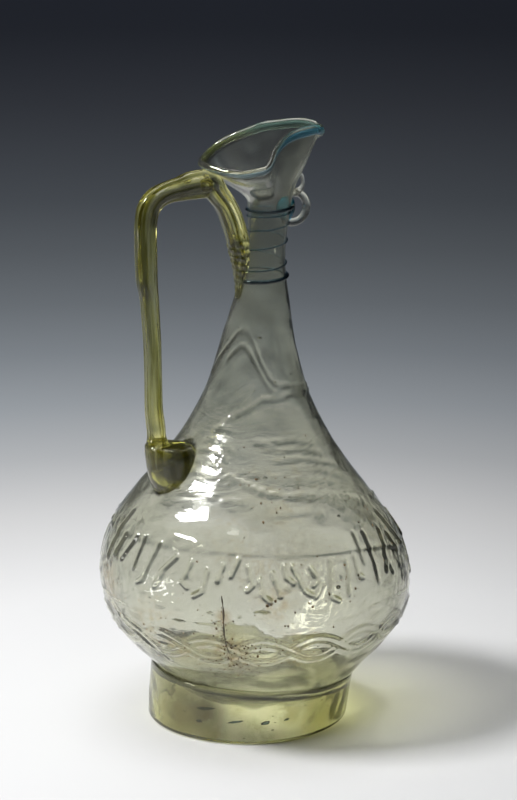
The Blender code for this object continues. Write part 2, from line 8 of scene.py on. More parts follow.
import bpy
import numpy as np
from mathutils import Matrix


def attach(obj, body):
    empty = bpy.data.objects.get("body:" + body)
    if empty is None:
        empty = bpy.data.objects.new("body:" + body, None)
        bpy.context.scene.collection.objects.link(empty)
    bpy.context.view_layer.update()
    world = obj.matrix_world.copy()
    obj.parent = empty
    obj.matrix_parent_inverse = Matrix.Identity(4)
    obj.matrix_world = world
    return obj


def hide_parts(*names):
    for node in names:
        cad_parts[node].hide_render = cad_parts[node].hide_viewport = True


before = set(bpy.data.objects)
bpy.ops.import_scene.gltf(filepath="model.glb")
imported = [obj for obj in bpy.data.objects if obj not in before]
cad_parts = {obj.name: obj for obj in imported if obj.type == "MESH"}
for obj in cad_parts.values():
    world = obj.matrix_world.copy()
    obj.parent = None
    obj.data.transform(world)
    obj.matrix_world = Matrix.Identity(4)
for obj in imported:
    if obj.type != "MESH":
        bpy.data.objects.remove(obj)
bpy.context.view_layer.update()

# Body, from its base to the top of the neck
BELLY_RADIUS = 0.0670
BELLY_HEIGHT = 0.0640
BASE_HEIGHT = 0.0080
BASE_RADIUS = 0.0220
BASE_KICK = 0.0035
NECK_TOP = 0.2252
NECK_LENGTH = 0.0202
NECK_RADIUS = 0.0084
NECK_TOP_RADIUS = 0.0094
WALL = 0.0020
THIN_WALL = 0.0011
LOWER_OUTLINE = ((0.0, 1.0), (0.143, 0.989), (0.321, 0.922), (0.5, 0.769), (0.643, 0.598),
                 (0.768, 0.471), (0.875, 0.333), (1.0, 0.0))
UPPER_OUTLINE = ((0.0, 1.0), (0.086, 0.960), (0.173, 0.861), (0.259, 0.710), (0.345, 0.543),
                 (0.446, 0.382), (0.561, 0.241), (0.676, 0.156), (0.806, 0.080), (1.0, 0.0))
LEAN = ((0.0, 0.0030), (0.21, 0.0013), (0.30, 0.0), (0.42, -0.0014), (0.57, 0.0003),
        (0.71, 0.0017), (0.80, 0.0032), (0.89, 0.0055), (1.0, 0.0076))

# Mouth
MOUTH_BACK = 0.0317
MOUTH_TIP = 0.0254
MOUTH_RISE = 0.0183
LIP_SLOPE = 0.0140
LIP_TILT = 0.0011
LIP_ROUND = 0.0012
LOBE_SPREAD = 0.0250
BEAK_SPREAD = 0.0083
BEAK_FLARE = 1.15
LOBE_START = 0.05
LOBE_LENGTH = 0.72
LIP_SWELL = ((0.0, 0.43), (0.27, 0.94), (0.36, 1.0), (0.47, 0.46), (0.54, 0.20), (0.66, 0.0),
             (1.0, 0.0))
LIP_CLIMB = ((0.0, 0.04), (0.23, 0.0), (0.35, 0.13), (0.47, 0.62), (0.59, 0.93), (0.75, 1.0),
             (0.90, 0.93), (1.0, 0.74))
RIM_BEAD = 0.0005
RIM_BEAD_DROP = 0.0012
RIM_BEAD_WIDTH = 0.0020
TIP_BEAD = 2.0
TIP_BEAD_START = 0.86
NECK_BLEND = 0.50

# Foot
FOOT_RADIUS = 0.0434
FOOT_TOP_RADIUS = 0.0444
FOOT_TOP = 0.0200
FOOT_WALL = 0.0046
FOOT_EDGE = 0.0012
FOOT_SHIFT = -0.0036
FOOT_TOP_SHIFT = -0.0009
FOOT_SHOULDER = 0.0008
FOOT_SHOULDER_RISE = 0.0024
FOOT_BUBBLES = 50
FOOT_BUBBLE_SIZES = (0.00012, 0.00040)
FOOT_BUBBLE_HEIGHTS = (0.002, 0.015)
FOOT_BUBBLE_PLACES = (0.25, 0.75)
FOOT_BUBBLE_FLAT = 0.7
FOOT_ROWS = np.concatenate([np.linspace(0.06, 0.74, 14), np.linspace(0.78, 1.0, 9)])
FOOT_INNER = 1.2
FOOT_WAVES = ((0.00026, 0.020, 31), (0.00010, 0.010, 32), (0.00003, 0.006, 33))

# Handle
HANDLE_REACH = 0.0560
HANDLE_THICKNESS = 0.0090
HANDLE_TAIL_DROP = 0.0402
HANDLE_FOLD_INSET = 0.0008
HANDLE_FOLD_DROP = 0.0078
HANDLE_BEND = 0.0170
HANDLE_PAD_RISE = 0.0530
HANDLE_PAD_RADIUS = 0.0110
HANDLE_TAIL = ((0.0, 0.0002, 0.20, 0.34), (0.008, 0.0018, 0.46, 0.62),
               (0.0155, 0.0036, 0.80, 0.88), (0.021, 0.0048, 0.98, 1.04))
HANDLE_STRAP = ((0.42, 0.0034, 1.02, 1.18), (0.62, 0.0039, 0.98, 1.22), (0.80, 0.0030, 1.02, 1.24))
HANDLE_FOLD = (1.30, 1.40)
HANDLE_ARM = ((0.24, 0.0002, 1.28), (0.415, 0.0011, 1.12), (0.59, 0.0018, 1.02),
              (0.734, 0.0029, 1.0), (0.883, 0.0056, 1.02), (0.968, 0.0099, 1.02))
HANDLE_ROD = ((0.0, 0.0, 1.0), (0.10, 0.0001, 1.0), (0.21, 0.0004, 0.98), (0.29, 0.0015, 0.87),
              (0.38, 0.0021, 0.85), (0.48, 0.0027, 0.83), (0.62, 0.0030, 0.82),
              (0.75, 0.0032, 0.84), (0.84, 0.0042, 0.89))
HANDLE_PAD = ((0.0049, 0.0094, 0.46), (0.0076, 0.0088, 0.72), (0.0100, 0.0074, 0.93),
              (0.0111, 0.0038, 1.01), (0.0117, -0.0030, 0.97), (0.0123, -0.0095, 0.84),
              (0.0132, -0.0150, 0.62))
PAD_START = 0.835
PAD_TURN = 0.03
HANDLE_RUN = 0.200
BEND_FLAT_TURN = math.radians(-32.0)
BEND_FLAT_PLACE = 0.372
BEND_FLAT = 0.13
BEND_FLAT_WIDTH = 0.75
BEND_FLAT_LENGTH = 0.035
RIBS = ((0.055, 5, 3, 0.6), (0.028, 11, -5, 0.0))
STRAP_GROOVE = 0.42
STRAP_TWIST = 1.2
STRAP_MIDDLE = 0.2
STRAP_SPANS = ((0.10, 0.15), (0.235, 0.265))
TAIL_CRUMPLE = 0.13
TAIL_END = 0.09
TAIL_FADE = 0.04
PAD_FADE = 0.03
WAIST = 0.05
WAIST_PLACE = PAD_START + 0.01
WAIST_LENGTH = 0.02
CURL_TURNS = 1.4
CURL_RADIUS = 0.0026
CURL_TUBE = 0.0009
CURL_STAND = 0.0052
CURL_ASIDE = 0.0008
CURL_START = 0.4
CURL_CLOSE = 0.62
CURL_SLIM = 0.35

# Threads and ring
THREAD_THICK = 0.0020
THREAD_THIN = 0.0007
THREAD_TOP_DROP = 0.0030
THREAD_BAND = 0.0295
THREAD_CLIMB = ((-0.3, -0.03), (0.0, 0.0), (1.0, 0.153), (2.0, 0.468), (3.0, 0.732),
                (4.0, 0.922), (5.0, 1.0), (5.3, 1.03))
THREAD_FRONT = -120.0
THREAD_START_TAPER = 1.2
THREAD_END_TAPER = 0.9
THREAD_TIP = 0.04
THREAD_TIP_SHARE = 0.25
THREAD_STAND = 0.72
LIP_THREAD_THICKNESS = 0.0011
LIP_THREAD_WIDTH = 0.0020
BEAK_THREAD_WIDTH = 0.0032
BEAK_THREAD_START = 0.42
BEAK_THREAD_LENGTH = 0.20
BEAK_TIP = (0.92, 0.06, 0.6)
LIP_THREAD_STAND = 0.8
RING_DROP = 0.0040
RING_RADIUS = 0.0063
RING_THICKNESS = 0.0034
RING_STAND = 0.0030
RING_UNEVEN = 0.05
RING_LOOP = range(-135, 86, 20)
RING_CURL_RISE = 0.0085
RING_CURL = ((0.0036, 0.16, 0.70), (0.0046, 0.42, 0.50), (0.0044, 0.70, 0.46), (0.0028, 1.0, 0.44))
DAB_HALF_HEIGHT = 0.0052
DAB_HALF_WIDTH = 0.0060
DAB_THICKNESS = 0.0026
DAB_ARC = (0.15, 1.35)
DAB_SUNK = ((0.55, 1.0), (-0.2, -0.1))

# How deep an applied piece sinks into the wall that it is fused to, the depths over which its
# mark fades in, a small step for slopes, and the depth that stands for a point outside
FUSE = 0.0004
FUSE_FADE = 0.0006
GROOVE = 0.0008
STEP = 1e-5
OUTSIDE = -1.0

# Camera: where the photo was taken from
CAMERA_TURN = math.radians(-30.0)
CAMERA_PITCH = math.radians(15.0)
CAMERA_DISTANCE = 1.260
CAMERA_AIM_HEIGHT = 0.1394
CAMERA_AIM_ASIDE = 0.00194
CAMERA_LENS = 132.75
CAMERA_SENSOR = 36.0

NECK_START = NECK_TOP - NECK_LENGTH
LIP_LOW = NECK_TOP + MOUTH_RISE
RING_HEIGHT = NECK_TOP - RING_DROP
THREAD_LOW = NECK_TOP - THREAD_TOP_DROP - THREAD_BAND
PAD_HEIGHT = BELLY_HEIGHT + HANDLE_PAD_RISE


def smooth_curve(knots, start_slope=None, end_slope=None):
    """A cubic through (place, value) knots that never swings past them (monotone slopes)."""
    places, values = np.array(knots, dtype=float).T
    steps = np.diff(places)
    rises = np.diff(values) / steps
    slopes = np.zeros(len(places))
    early = 2 * steps[1:] + steps[:-1]
    late = steps[1:] + 2 * steps[:-1]
    same_way = rises[:-1] * rises[1:] > 0
    before = np.where(same_way, rises[:-1], 1.0)
    after = np.where(same_way, rises[1:], 1.0)
    slopes[1:-1] = np.where(same_way, (early + late) / (early / before + late / after), 0.0)
    slopes[0] = rises[0] if start_slope is None else start_slope
    slopes[-1] = rises[-1] if end_slope is None else end_slope

    def curve(place):
        place = np.clip(place, places[0], places[-1])
        index = np.clip(np.searchsorted(places, place, side="right") - 1, 0, len(steps) - 1)
        step = steps[index]
        share = (place - places[index]) / step
        keep = (1 + 2 * share) * (1 - share) ** 2
        leave = share * (1 - share) ** 2 * step
        arrive = share ** 2 * (share - 1) * step
        return (values[index] * keep + values[index + 1] * (1 - keep)
                + slopes[index] * leave + slopes[index + 1] * arrive)

    return curve


def ease(share):
    """Smooth step from 0 to 1."""
    share = np.clip(share, 0.0, 1.0)
    return share * share * (3 - 2 * share)


def ridge(distance, width):
    """A rounded ridge seen across: 1 on its line, falling smoothly to 0 at its width."""
    return np.clip(1 - (distance / width) ** 2, 0, 1) ** 2


def turns(count):
    """Evenly spaced angles round the axis, counted from the spout."""
    return np.arange(count) * 2 * math.pi / count


def blend(first, last, share):
    """The value a share of the way from first to last."""
    return first + (last - first) * share


def window(value, rise, fall):
    """Smooth step from 0 to 1 over the span called rise, and back to 0 over the span called fall."""
    return ease((value - rise[0]) / (rise[1] - rise[0])) * ease((fall[1] - value) / (fall[1] - fall[0]))


def unit(vectors):
    """Vectors brought to length 1."""
    return vectors / np.linalg.norm(vectors, axis=-1, keepdims=True)


def half_turn(angle):
    """An angle brought to within half a turn of zero."""
    return angle - 2 * math.pi * np.round(angle / (2 * math.pi))


def wobble(points, length, seed, waves=8):
    """Smooth unevenness, about -1 to 1: plane sine waves near one length, in seeded directions."""
    random = np.random.default_rng(seed)
    ways = unit(random.normal(size=(waves, 3)))
    rates = 2 * math.pi / (length * random.uniform(0.7, 1.5, waves))
    phases = random.uniform(0, 2 * math.pi, waves)
    return np.sin(points @ (ways * rates[:, None]).T + phases).sum(axis=-1) / math.sqrt(waves)


def wander(points, waves):
    """The sum of wobbles, given as (size, length, seed)."""
    return sum(size * wobble(points, length, seed) for size, length, seed in waves)


def carried(rows, steps, count):
    """Rows of numbers carried on smoothly to count rows, evenly spaced over the steps' lengths."""
    run = np.concatenate([[0], np.cumsum(steps)])
    places = np.linspace(0, run[-1], count)
    return np.stack([smooth_curve(np.stack([run, column], -1))(places) for column in rows.T], -1)


def round_point(axis, radius, angle, height):
    """A point on a level circle whose middle stands at axis on X."""
    return np.stack([axis + radius * np.cos(angle), radius * np.sin(angle), height + 0 * angle], -1)


lower_outline = smooth_curve(LOWER_OUTLINE, start_slope=0.0)
upper_outline = smooth_curve(UPPER_OUTLINE, start_slope=0.0, end_slope=0.0)
lean_curve = smooth_curve(LEAN)
lip_swell = smooth_curve(LIP_SWELL, end_slope=0.0)
lip_climb = smooth_curve(LIP_CLIMB)
thread_climb = smooth_curve(THREAD_CLIMB)


def lean(height):
    """Place of the body's axis along X at a height."""
    return lean_curve(np.asarray(height) / NECK_TOP)


def body_radius(height):
    """Outer radius of the plain body, from the base to the top of the neck."""
    height = np.asarray(height, dtype=float)
    down = (BELLY_HEIGHT - height) / (BELLY_HEIGHT - BASE_HEIGHT)
    up = (height - BELLY_HEIGHT) / (NECK_START - BELLY_HEIGHT)
    flare = np.clip((height - NECK_START) / NECK_LENGTH, 0, 1)
    below = blend(BASE_RADIUS, BELLY_RADIUS, lower_outline(down))
    above = blend(NECK_RADIUS, BELLY_RADIUS, upper_outline(up))
    neck = (NECK_TOP_RADIUS - NECK_RADIUS) * flare ** 2
    return np.where(height < BELLY_HEIGHT, below, above + neck)


def slant(height):
    """Length of the body's outline for each metre of height."""
    slope = (body_radius(height + STEP) - body_radius(height - STEP)) / (2 * STEP)
    return np.sqrt(1 + slope ** 2)


def body_point(angle, height, relief=0.0):
    """A point on the body: a circle about the leaning axis, with relief standing off it."""
    return round_point(lean(height), body_radius(height) + relief, angle, height)


def base_point(angle, share):
    """A point under the base, which is pushed up in its middle."""
    height = BASE_HEIGHT + BASE_KICK * (1 - share ** 2)
    return round_point(lean(BASE_HEIGHT), BASE_RADIUS * share, angle, height)


def along_lip(angle):
    """Share of the way along the lip, from over the handle (0) to the spout's tip (1)."""
    return 1 - np.abs(half_turn(angle)) / math.pi


def lip_point(angle):
    """A point on the lip's crest: 0 is the spout's tip, half a turn is over the handle."""
    along = along_lip(angle)
    reach = (MOUTH_BACK + MOUTH_TIP) * (1 - np.cos(along * math.pi)) / 2
    spread = blend(BEAK_SPREAD, LOBE_SPREAD, lip_swell(along))
    z = LIP_LOW + LIP_SLOPE * lip_climb(along) + LIP_TILT * np.sin(angle)
    return np.stack([lean(NECK_TOP) - MOUTH_BACK + reach, np.sin(angle) * spread, z], axis=-1)


def mouth_point(angle, share):
    """A point between the neck (share 0) and the lip (share 1): lobes bulge, the beak flares."""
    neck = body_point(angle, NECK_TOP)
    lip = lip_point(angle) - np.array([0, 0, LIP_ROUND])
    lobe = ease((share - LOBE_START) / LOBE_LENGTH)
    outward = blend(share ** BEAK_FLARE, lobe, np.sin(angle) ** 2)
    outward = outward * ease(0.5 + share / NECK_BLEND / 2)
    return blend(neck, lip, np.stack([outward, outward, share + 0 * angle], axis=-1))


def offset_point(surface, angle, place, distance):
    """A point pushed off a surface along its normal, which is read from small steps."""
    around = surface(angle + STEP, place) - surface(angle - STEP, place)
    upward = surface(angle, place + STEP) - surface(angle, np.maximum(place - STEP, 0))
    normal = unit(np.cross(around, upward))
    return surface(angle, place) + normal * (distance + 0 * angle)[..., None]


# Meshes from grids


def ring_faces(start, count, following, number):
    """Faces between a ring of count points and the next ring, of as many, twice or half."""
    few = min(count, number)
    at = np.arange(few)
    after = (at + 1) % few
    if count == number:
        return np.stack([start + at, start + after, following + after, following + at], -1).tolist()
    coarse, fine = (start, following) if count == few else (following, start)
    first, middle, last = (fine + (2 * at + step) % (2 * few) for step in range(3))
    here, there = coarse + at, coarse + after
    faces = np.concatenate([np.stack(corners, -1) for corners in
                            ((here, middle, first), (here, there, middle), (there, last, middle))])
    return (faces if count == few else faces[:, ::-1]).tolist()


def fan(start, count, pole):
    """Faces between a ring of count points and a pole."""
    at = np.arange(count)
    return np.stack([start + at, start + (at + 1) % count, 0 * at + pole], -1).tolist()


def closed_faces(counts, ended=True):
    """Faces through rings of these counts, ended by two poles after them or joined in a loop."""
    starts = np.concatenate([[0], np.cumsum(counts)])
    faces = []
    for start, count, following, number in zip(starts, counts, starts[1:], counts[1:]):
        faces += ring_faces(start, count, following, number)
    if not ended:
        return faces + ring_faces(starts[-2], counts[-1], 0, counts[0])
    faces += [face[::-1] for face in fan(0, counts[0], starts[-1])]
    return faces + fan(starts[-2], counts[-1], starts[-1] + 1)


def loft(name, grids, poles=None, cavities=None):
    """A closed mesh through grids of points (rows of rings), ended by poles or joined in a loop.

    Cavities are closed lots of points and faces inside the glass, whose faces are turned to look
    inward. A grid's fourth column, if it has one, is the mark that the material reads as grime and
    as painted shade on the relief's steep flanks.
    """
    rings = [ring for grid in grids for ring in grid]
    faces = closed_faces([len(ring) for ring in rings], poles is not None)
    points = np.concatenate([ring[:, :3] for ring in rings])
    if poles is not None:
        points = np.concatenate([points, np.array(poles, dtype=float)])
    if enclosed(points, faces) < 0:
        faces = [face[::-1] for face in faces]
    if cavities:
        faces += turned_faces(cavities[1], len(points))
        points = np.concatenate([points, cavities[0]])
    piece = mesh_piece(name, points, faces)
    grime_and_flank_shade = np.concatenate([ring[:, 3:].sum(axis=-1) for ring in rings])
    if grime_and_flank_shade.any():
        mark_points(piece, "grime_and_flank_shade", np.pad(grime_and_flank_shade, (0, len(points) - len(grime_and_flank_shade))))
    return piece


def tube(name, grid):
    """A closed mesh through one grid, ended in the middle of its first and last rings."""
    return loft(name, [grid], (grid[0].mean(axis=0), grid[-1].mean(axis=0)))


def turned_faces(faces, start):
    """Faces turned inside out, on points that are counted from start."""
    return [[start + at for at in face[::-1]] for face in faces]


def enclosed(points, faces):
    """Six times the volume that faces enclose: positive where they look outward."""
    corners = points[np.array([(face[0], face[at], face[at + 1])
                               for face in faces for at in range(1, len(face) - 1)])]
    return np.einsum("ij,ij->i", corners[:, 0], np.cross(corners[:, 1], corners[:, 2])).sum()


def add_object(name, data):
    """A new object in the scene."""
    item = bpy.data.objects.new(name, data)
    bpy.context.collection.objects.link(item)
    return item


def mesh_piece(name, points, faces):
    """A smooth mesh object at the origin."""
    mesh = bpy.data.meshes.new(name)
    mesh.from_pydata(points.tolist(), [], faces)
    mesh.update()
    mesh.shade_smooth()
    return add_object(name, mesh)


def cut_away(piece, cutter):
    """Cuts a piece where it would stand inside another, and keeps the result as its mesh.

    The faces that the cut makes take the cutter's material, and are marked as fused.
    """
    piece.data.materials.append(bpy.data.materials.new("own"))
    step = piece.modifiers.new("cut", "BOOLEAN")
    step.operation = "DIFFERENCE"
    step.solver = "EXACT"
    step.material_mode = "TRANSFER"
    step.object = cutter
    bpy.context.view_layer.update()
    evaluated = piece.evaluated_get(bpy.context.evaluated_depsgraph_get())
    mesh = bpy.data.meshes.new_from_object(evaluated)
    piece.modifiers.clear()
    piece.data = mesh
    mesh.name = piece.name
    cut = np.zeros(len(mesh.polygons), dtype=np.int32)
    mesh.polygons.foreach_get("material_index", cut)
    mesh.polygons.foreach_set("material_index", 0 * cut)
    mark_faces(mesh, (cut > 0).astype(float))


def mark_faces(mesh, fused):
    """Stores for each face of a mesh whether it is fused to the vessel."""
    mesh.attributes.new("fused", "FLOAT", "FACE").data.foreach_set("value", fused)


def mesh_points(piece):
    """All vertices of a piece as rows of an array."""
    corners = np.empty(len(piece.data.vertices) * 3)
    piece.data.vertices.foreach_get("co", corners)
    return corners.reshape(-1, 3)


def mark_points(piece, name, values):
    """Stores a number or a vector for each vertex of a piece, for its material to read."""
    kind, field = ("FLOAT", "value") if values.ndim == 1 else ("FLOAT_VECTOR", "vector")
    piece.data.attributes.new(name, kind, "POINT").data.foreach_set(field, values.ravel())


def inside_sweep(points, grid):
    """How deep points lie inside a swept piece: its section's mean radius less the distance to
    the nearest point of its middle line."""
    middles = grid.mean(axis=1)
    radii = np.linalg.norm(grid - middles[:, None], axis=-1).mean(axis=1)
    depth = np.full(len(points), OUTSIDE)
    for middle, radius in zip(middles, radii):
        near = np.abs(points - middle).max(axis=1) < 2 * radius
        depth[near] = np.maximum(depth[near], radius - np.linalg.norm(points[near] - middle, axis=1))
    return depth


def fuse_vessel(vessel, sweeps):
    """Marks where other pieces are fused to the vessel's outside, so no light bends there."""
    points = mesh_points(vessel)
    x, y, height = points.T
    outer = np.hypot(x - lean(height), y) > body_radius(height) - THIN_WALL / 2
    inside = foot_inward(points)
    depth = np.where(outer & (height < FOOT_TOP + FOOT_EDGE),
                     np.minimum(inside, FOOT_WALL - inside) + GROOVE, OUTSIDE)
    open_air = outer | (height > NECK_TOP)
    for grid in sweeps:
        depth = np.maximum(depth, np.where(open_air, inside_sweep(points, grid), OUTSIDE))
    mark_points(vessel, "fused", np.clip(0.5 + depth / FUSE_FADE, 0, 1))


# Relief of the mould


# Strokes over the belly: (degrees, height) of the top and the foot, and the foot's hook in degrees
STROKES = (((-189, 0.0960), (-192, 0.0760), 0.0), ((-175, 0.0895), (-180, 0.0790), 0.0),
           ((-170, 0.0905), (-171, 0.0776), 0.0), ((-161, 0.0895), (-165, 0.0747), -2.4),
           ((-151, 0.0860), (-157, 0.0790), 0.0), ((-137, 0.0825), (-139, 0.0740), -3.0),
           ((-125, 0.0875), (-128, 0.0810), 0.0), ((-112, 0.0820), (-110, 0.0730), 0.0),
           ((-104, 0.0840), (-101, 0.0745), 2.4), ((-88, 0.0845), (-91, 0.0705), 3.0),
           ((-81, 0.0830), (-83, 0.0700), 0.0), ((-71, 0.0916), (-72, 0.0806), 0.0),
           ((-65, 0.0906), (-67, 0.0710), 0.0), ((-53, 0.0885), (-60, 0.0740), 0.0),
           ((-48, 0.0855), (-46, 0.0780), 0.0), ((-44, 0.0940), (-33, 0.0640), 0.0),
           ((-24, 0.0890), (-32, 0.0690), 0.0), ((-131, 0.0850), (-133, 0.0790), 0.0),
           ((-121, 0.0846), (-120, 0.0776), -2.0), ((-117, 0.0800), (-116, 0.0730), 2.0),
           ((-107, 0.0846), (-107, 0.0800), 2.2), ((-97, 0.0830), (-95, 0.0780), -2.2),
           ((-94, 0.0760), (-97, 0.0716), 0.0), ((-76, 0.0840), (-77, 0.0770), 2.0),
           ((-144, 0.0850), (-147, 0.0770), 2.2), ((-183, 0.0880), (-186, 0.0790), 0.0),
           ((-156, 0.0790), (-159, 0.0730), 0.0), ((-58, 0.0800), (-56, 0.0720), 0.0))
HIDDEN_STROKES = 15
HIDDEN_STROKE_STEP = 11.5
HIDDEN_START = -12.0
HIDDEN_SHIFT = 1.5
HIDDEN_TOPS = (0.082, 0.093)
HIDDEN_FEET = (0.067, 0.079)
HIDDEN_SLANT = 4.0
HIDDEN_HOOKS = (0.0, 0.0, 2.6, -2.6)
STROKE_WIDTH = 0.0015
STROKE_EDGE = 0.0009
STROKE_RELIEF = 0.00065
HIDDEN_SHARE = 0.6
FRONT_SHARE = 0.8
HOOK_DROP = 0.0020
LEDGE = ((-200, 0.0860), (-175, 0.0885), (-134, 0.0895), (-116, 0.0887), (-100, 0.0878),
         (-81, 0.0866), (-58, 0.0832), (-40, 0.0785), (-10, 0.0800), (60, 0.0870), (160, 0.0860))
LEDGE_STEP = 0.00035
LEDGE_WIDTH = 0.0012
LEDGE_REACH = 0.012
LEDGE_EDGE = 0.25
LEDGE_TURN = -110.0
LEDGE_TURN_SPAN = 30.0
BORDER = ((-200, 0.0600), (-150, 0.0600), (-130, 0.0596), (-110, 0.0583), (-95, 0.0592),
          (-84, 0.0590), (-71, 0.0620), (-40, 0.0600), (40, 0.0590), (160, 0.0600))
BORDER_WIDTH = 0.0008
BORDER_RELIEF = 0.00036
BORDER_SWELL = (0.5, -0.4, 3)
PLAIT_EYES = 18
PLAIT_TURN = 2.5
PLAIT_HEIGHT = 0.0480
PLAIT_REACH = 0.0043
PLAIT_WIDTH = 0.0017
PLAIT_RELIEF = 0.00055
PLAIT_LINE = 0.0009
PLAIT_BAND = 0.4
CORDS = (((-200, 0.1522), (-187, 0.1596), (-169, 0.1671), (-157, 0.1720), (-147, 0.1733),
          (-137, 0.1719), (-124, 0.1664), (-115, 0.1601), (-105, 0.1544), (-96, 0.1507),
          (-78, 0.1495), (-58, 0.1478), (-30, 0.1465)),
         ((-167, 0.1601), (-156, 0.1644), (-144, 0.1667), (-134, 0.1650), (-122, 0.1595),
          (-112, 0.1539), (-101, 0.1481), (-80, 0.1466), (-57, 0.1455), (-25, 0.1440)),
         ((-156, 0.1322), (-147, 0.1369), (-135, 0.1398), (-126, 0.1420), (-117, 0.1441),
          (-112, 0.1453), (-98, 0.1453), (-81, 0.1457)),
         ((-172, 0.1180), (-163, 0.1204), (-154, 0.1213), (-144, 0.1193), (-134, 0.1162),
          (-125, 0.1143), (-117, 0.1118), (-111, 0.1101), (-102, 0.1092), (-85, 0.1086),
          (-64, 0.1050), (-50, 0.1003), (-20, 0.0960)),
         ((-143, 0.1172), (-131, 0.1147), (-120, 0.1122), (-108, 0.1098), (-87, 0.1077),
          (-68, 0.1037), (-48, 0.0983)),
         ((-111, 0.1024), (-101, 0.1028), (-83, 0.1018)),
         ((-114, 0.1271), (-100, 0.1255), (-83, 0.1248), (-64, 0.1217)),
         ((-105, 0.1213), (-93, 0.1218), (-70, 0.1189), (-54, 0.1158)),
         ((-99, 0.1177), (-84, 0.1177), (-64, 0.1138), (-52, 0.1098)),
         ((-120, 0.1286), (-94, 0.1290), (-68, 0.1257)),
         ((-130, 0.1185), (-115, 0.1164), (-90, 0.1145), (-64, 0.1103)),
         ((-172, 0.1075), (-160, 0.1090), (-148, 0.1092), (-134, 0.1075), (-122, 0.1068)),
         ((-174, 0.1150), (-160, 0.1166), (-148, 0.1160), (-134, 0.1132)),
         ((-166, 0.1236), (-157, 0.1250), (-148, 0.1244), (-138, 0.1215)),
         ((-164, 0.1276), (-155, 0.1291), (-146, 0.1280), (-136, 0.1252)),
         ((-160, 0.1318), (-151, 0.1336), (-142, 0.1330)),
         ((-187, 0.0580), (-178, 0.0520), (-170, 0.0480), (-159, 0.0380)))
CORD_WIDTH = 0.0010
CORD_RELIEF = 0.00052
CRACK = ((-131.5, 0.0732), (-130.9, 0.0660), (-131.2, 0.0560), (-130.0, 0.0455))

# Broad soft dents, and lumps with even flanks: degrees, height, half width, half height, depth
DENTS = ((-147, 0.1012, 0.0250, 0.0085, 0.00095), (-128, 0.1030, 0.0100, 0.0060, 0.00030),
         (-88.0, 0.0970, 0.0120, 0.0040, 0.00040), (-104.0, 0.0560, 0.0070, 0.0030, 0.00040),
         (-137.0, 0.0560, 0.0060, 0.0030, 0.00035))
LUMPS = ((-150, 0.1108, 0.0180, 0.0018, 0.00035), (-156.0, 0.0668, 0.0048, 0.0030, 0.00050),
         (-148.0, 0.0672, 0.0060, 0.0030, 0.00050), (-155.0, 0.0935, 0.0042, 0.0030, 0.00045),
         (-143.0, 0.0926, 0.0042, 0.0026, 0.00045), (-116.0, 0.0655, 0.0060, 0.0030, 0.00050),
         (-96.0, 0.0640, 0.0070, 0.0026, 0.00040), (-126.0, 0.0950, 0.0090, 0.0026, 0.00030),
         (-70.0, 0.0560, 0.0080, 0.0035, 0.00045), (-170.0, 0.0560, 0.0080, 0.0035, 0.00050),
         (-122.0, 0.0800, 0.0030, 0.0020, 0.00045), (-107.0, 0.0765, 0.0030, 0.0022, 0.00045),
         (-96.5, 0.0800, 0.0026, 0.0030, 0.00050), (-77.0, 0.0750, 0.0024, 0.0020, 0.00045),
         (-132.0, 0.0790, 0.0030, 0.0026, 0.00045), (-145.0, 0.0800, 0.0030, 0.0024, 0.00045),
         (-118.0, 0.0740, 0.0036, 0.0016, 0.00045), (-85.0, 0.0790, 0.0024, 0.0026, 0.00045),
         (-164.0, 0.0700, 0.0050, 0.0020, 0.00060), (-60.0, 0.0690, 0.0050, 0.0022, 0.00050))
LUMP_ROUND = 0.03
PEBBLED = ((0.00007, 0.0052, 14), (0.00003, 0.0030, 15))
PEBBLED_SPANS = ((0.055, 0.065), (0.090, 0.098))

# Metres of run that one degree counts for where points are carried on along a line
DEGREE_RUN = 0.001


def line_distance(angle, height, line, pieces=24):
    """Distance over the surface from grid points to a smooth line of (degrees, height) points.

    The surface is unrolled round each grid point: angles count by the body's radius there and
    heights by the slope's length, and the least distance to the line's straight pieces is kept.
    """
    line = np.array(line, dtype=float)
    if len(line) > 2:
        steps = np.hypot(np.diff(line[:, 0]) * DEGREE_RUN, np.diff(line[:, 1]))
        line = carried(line, steps, pieces)
    radius = body_radius(height)
    tall = slant(height)
    least = np.full(angle.shape, np.inf)
    for (first_turn, first_height), (next_turn, next_height) in zip(line[:-1], line[1:]):
        across = half_turn(angle - math.radians(first_turn)) * radius
        up = (height - first_height) * tall
        run_across = math.radians(next_turn - first_turn) * radius
        run_up = (next_height - first_height) * tall
        share = (across * run_across + up * run_up) / (run_across ** 2 + run_up ** 2)
        share = np.clip(share, 0, 1)
        least = np.minimum(least, np.hypot(across - share * run_across, up - share * run_up))
    return least


def all_strokes():
    """The strokes that the photo shows, and a row of like ones on the side that it hides."""
    random = np.random.default_rng(7)
    strokes = list(STROKES)
    for index in range(HIDDEN_STROKES):
        turn = index * HIDDEN_STROKE_STEP + HIDDEN_START + random.uniform(-HIDDEN_SHIFT, HIDDEN_SHIFT)
        top = random.uniform(*HIDDEN_TOPS)
        foot = random.uniform(*HIDDEN_FEET)
        slant_turn = random.uniform(-HIDDEN_SLANT, HIDDEN_SLANT)
        hook = random.choice(HIDDEN_HOOKS)
        strokes.append(((turn, top), (turn + slant_turn, foot), hook))
    return strokes


def stroke_relief(angle, height):
    """Rounded bars, some with a short hook at the foot."""
    relief = np.zeros(angle.shape)
    for index, (top, foot, hook) in enumerate(all_strokes()):
        tall = 1.0 if index < len(STROKES) else HIDDEN_SHARE
        tall += FRONT_SHARE * max(math.cos(math.radians(top[0] - THREAD_FRONT)), 0) ** 4
        near = line_distance(angle, height, (top, foot))
        if hook:
            end = (foot[0] + hook, foot[1] - HOOK_DROP)
            near = np.minimum(near, line_distance(angle, height, (foot, end)))
        relief = np.maximum(relief, tall * ease((STROKE_WIDTH - near) / STROKE_EDGE))
    return STROKE_RELIEF * relief


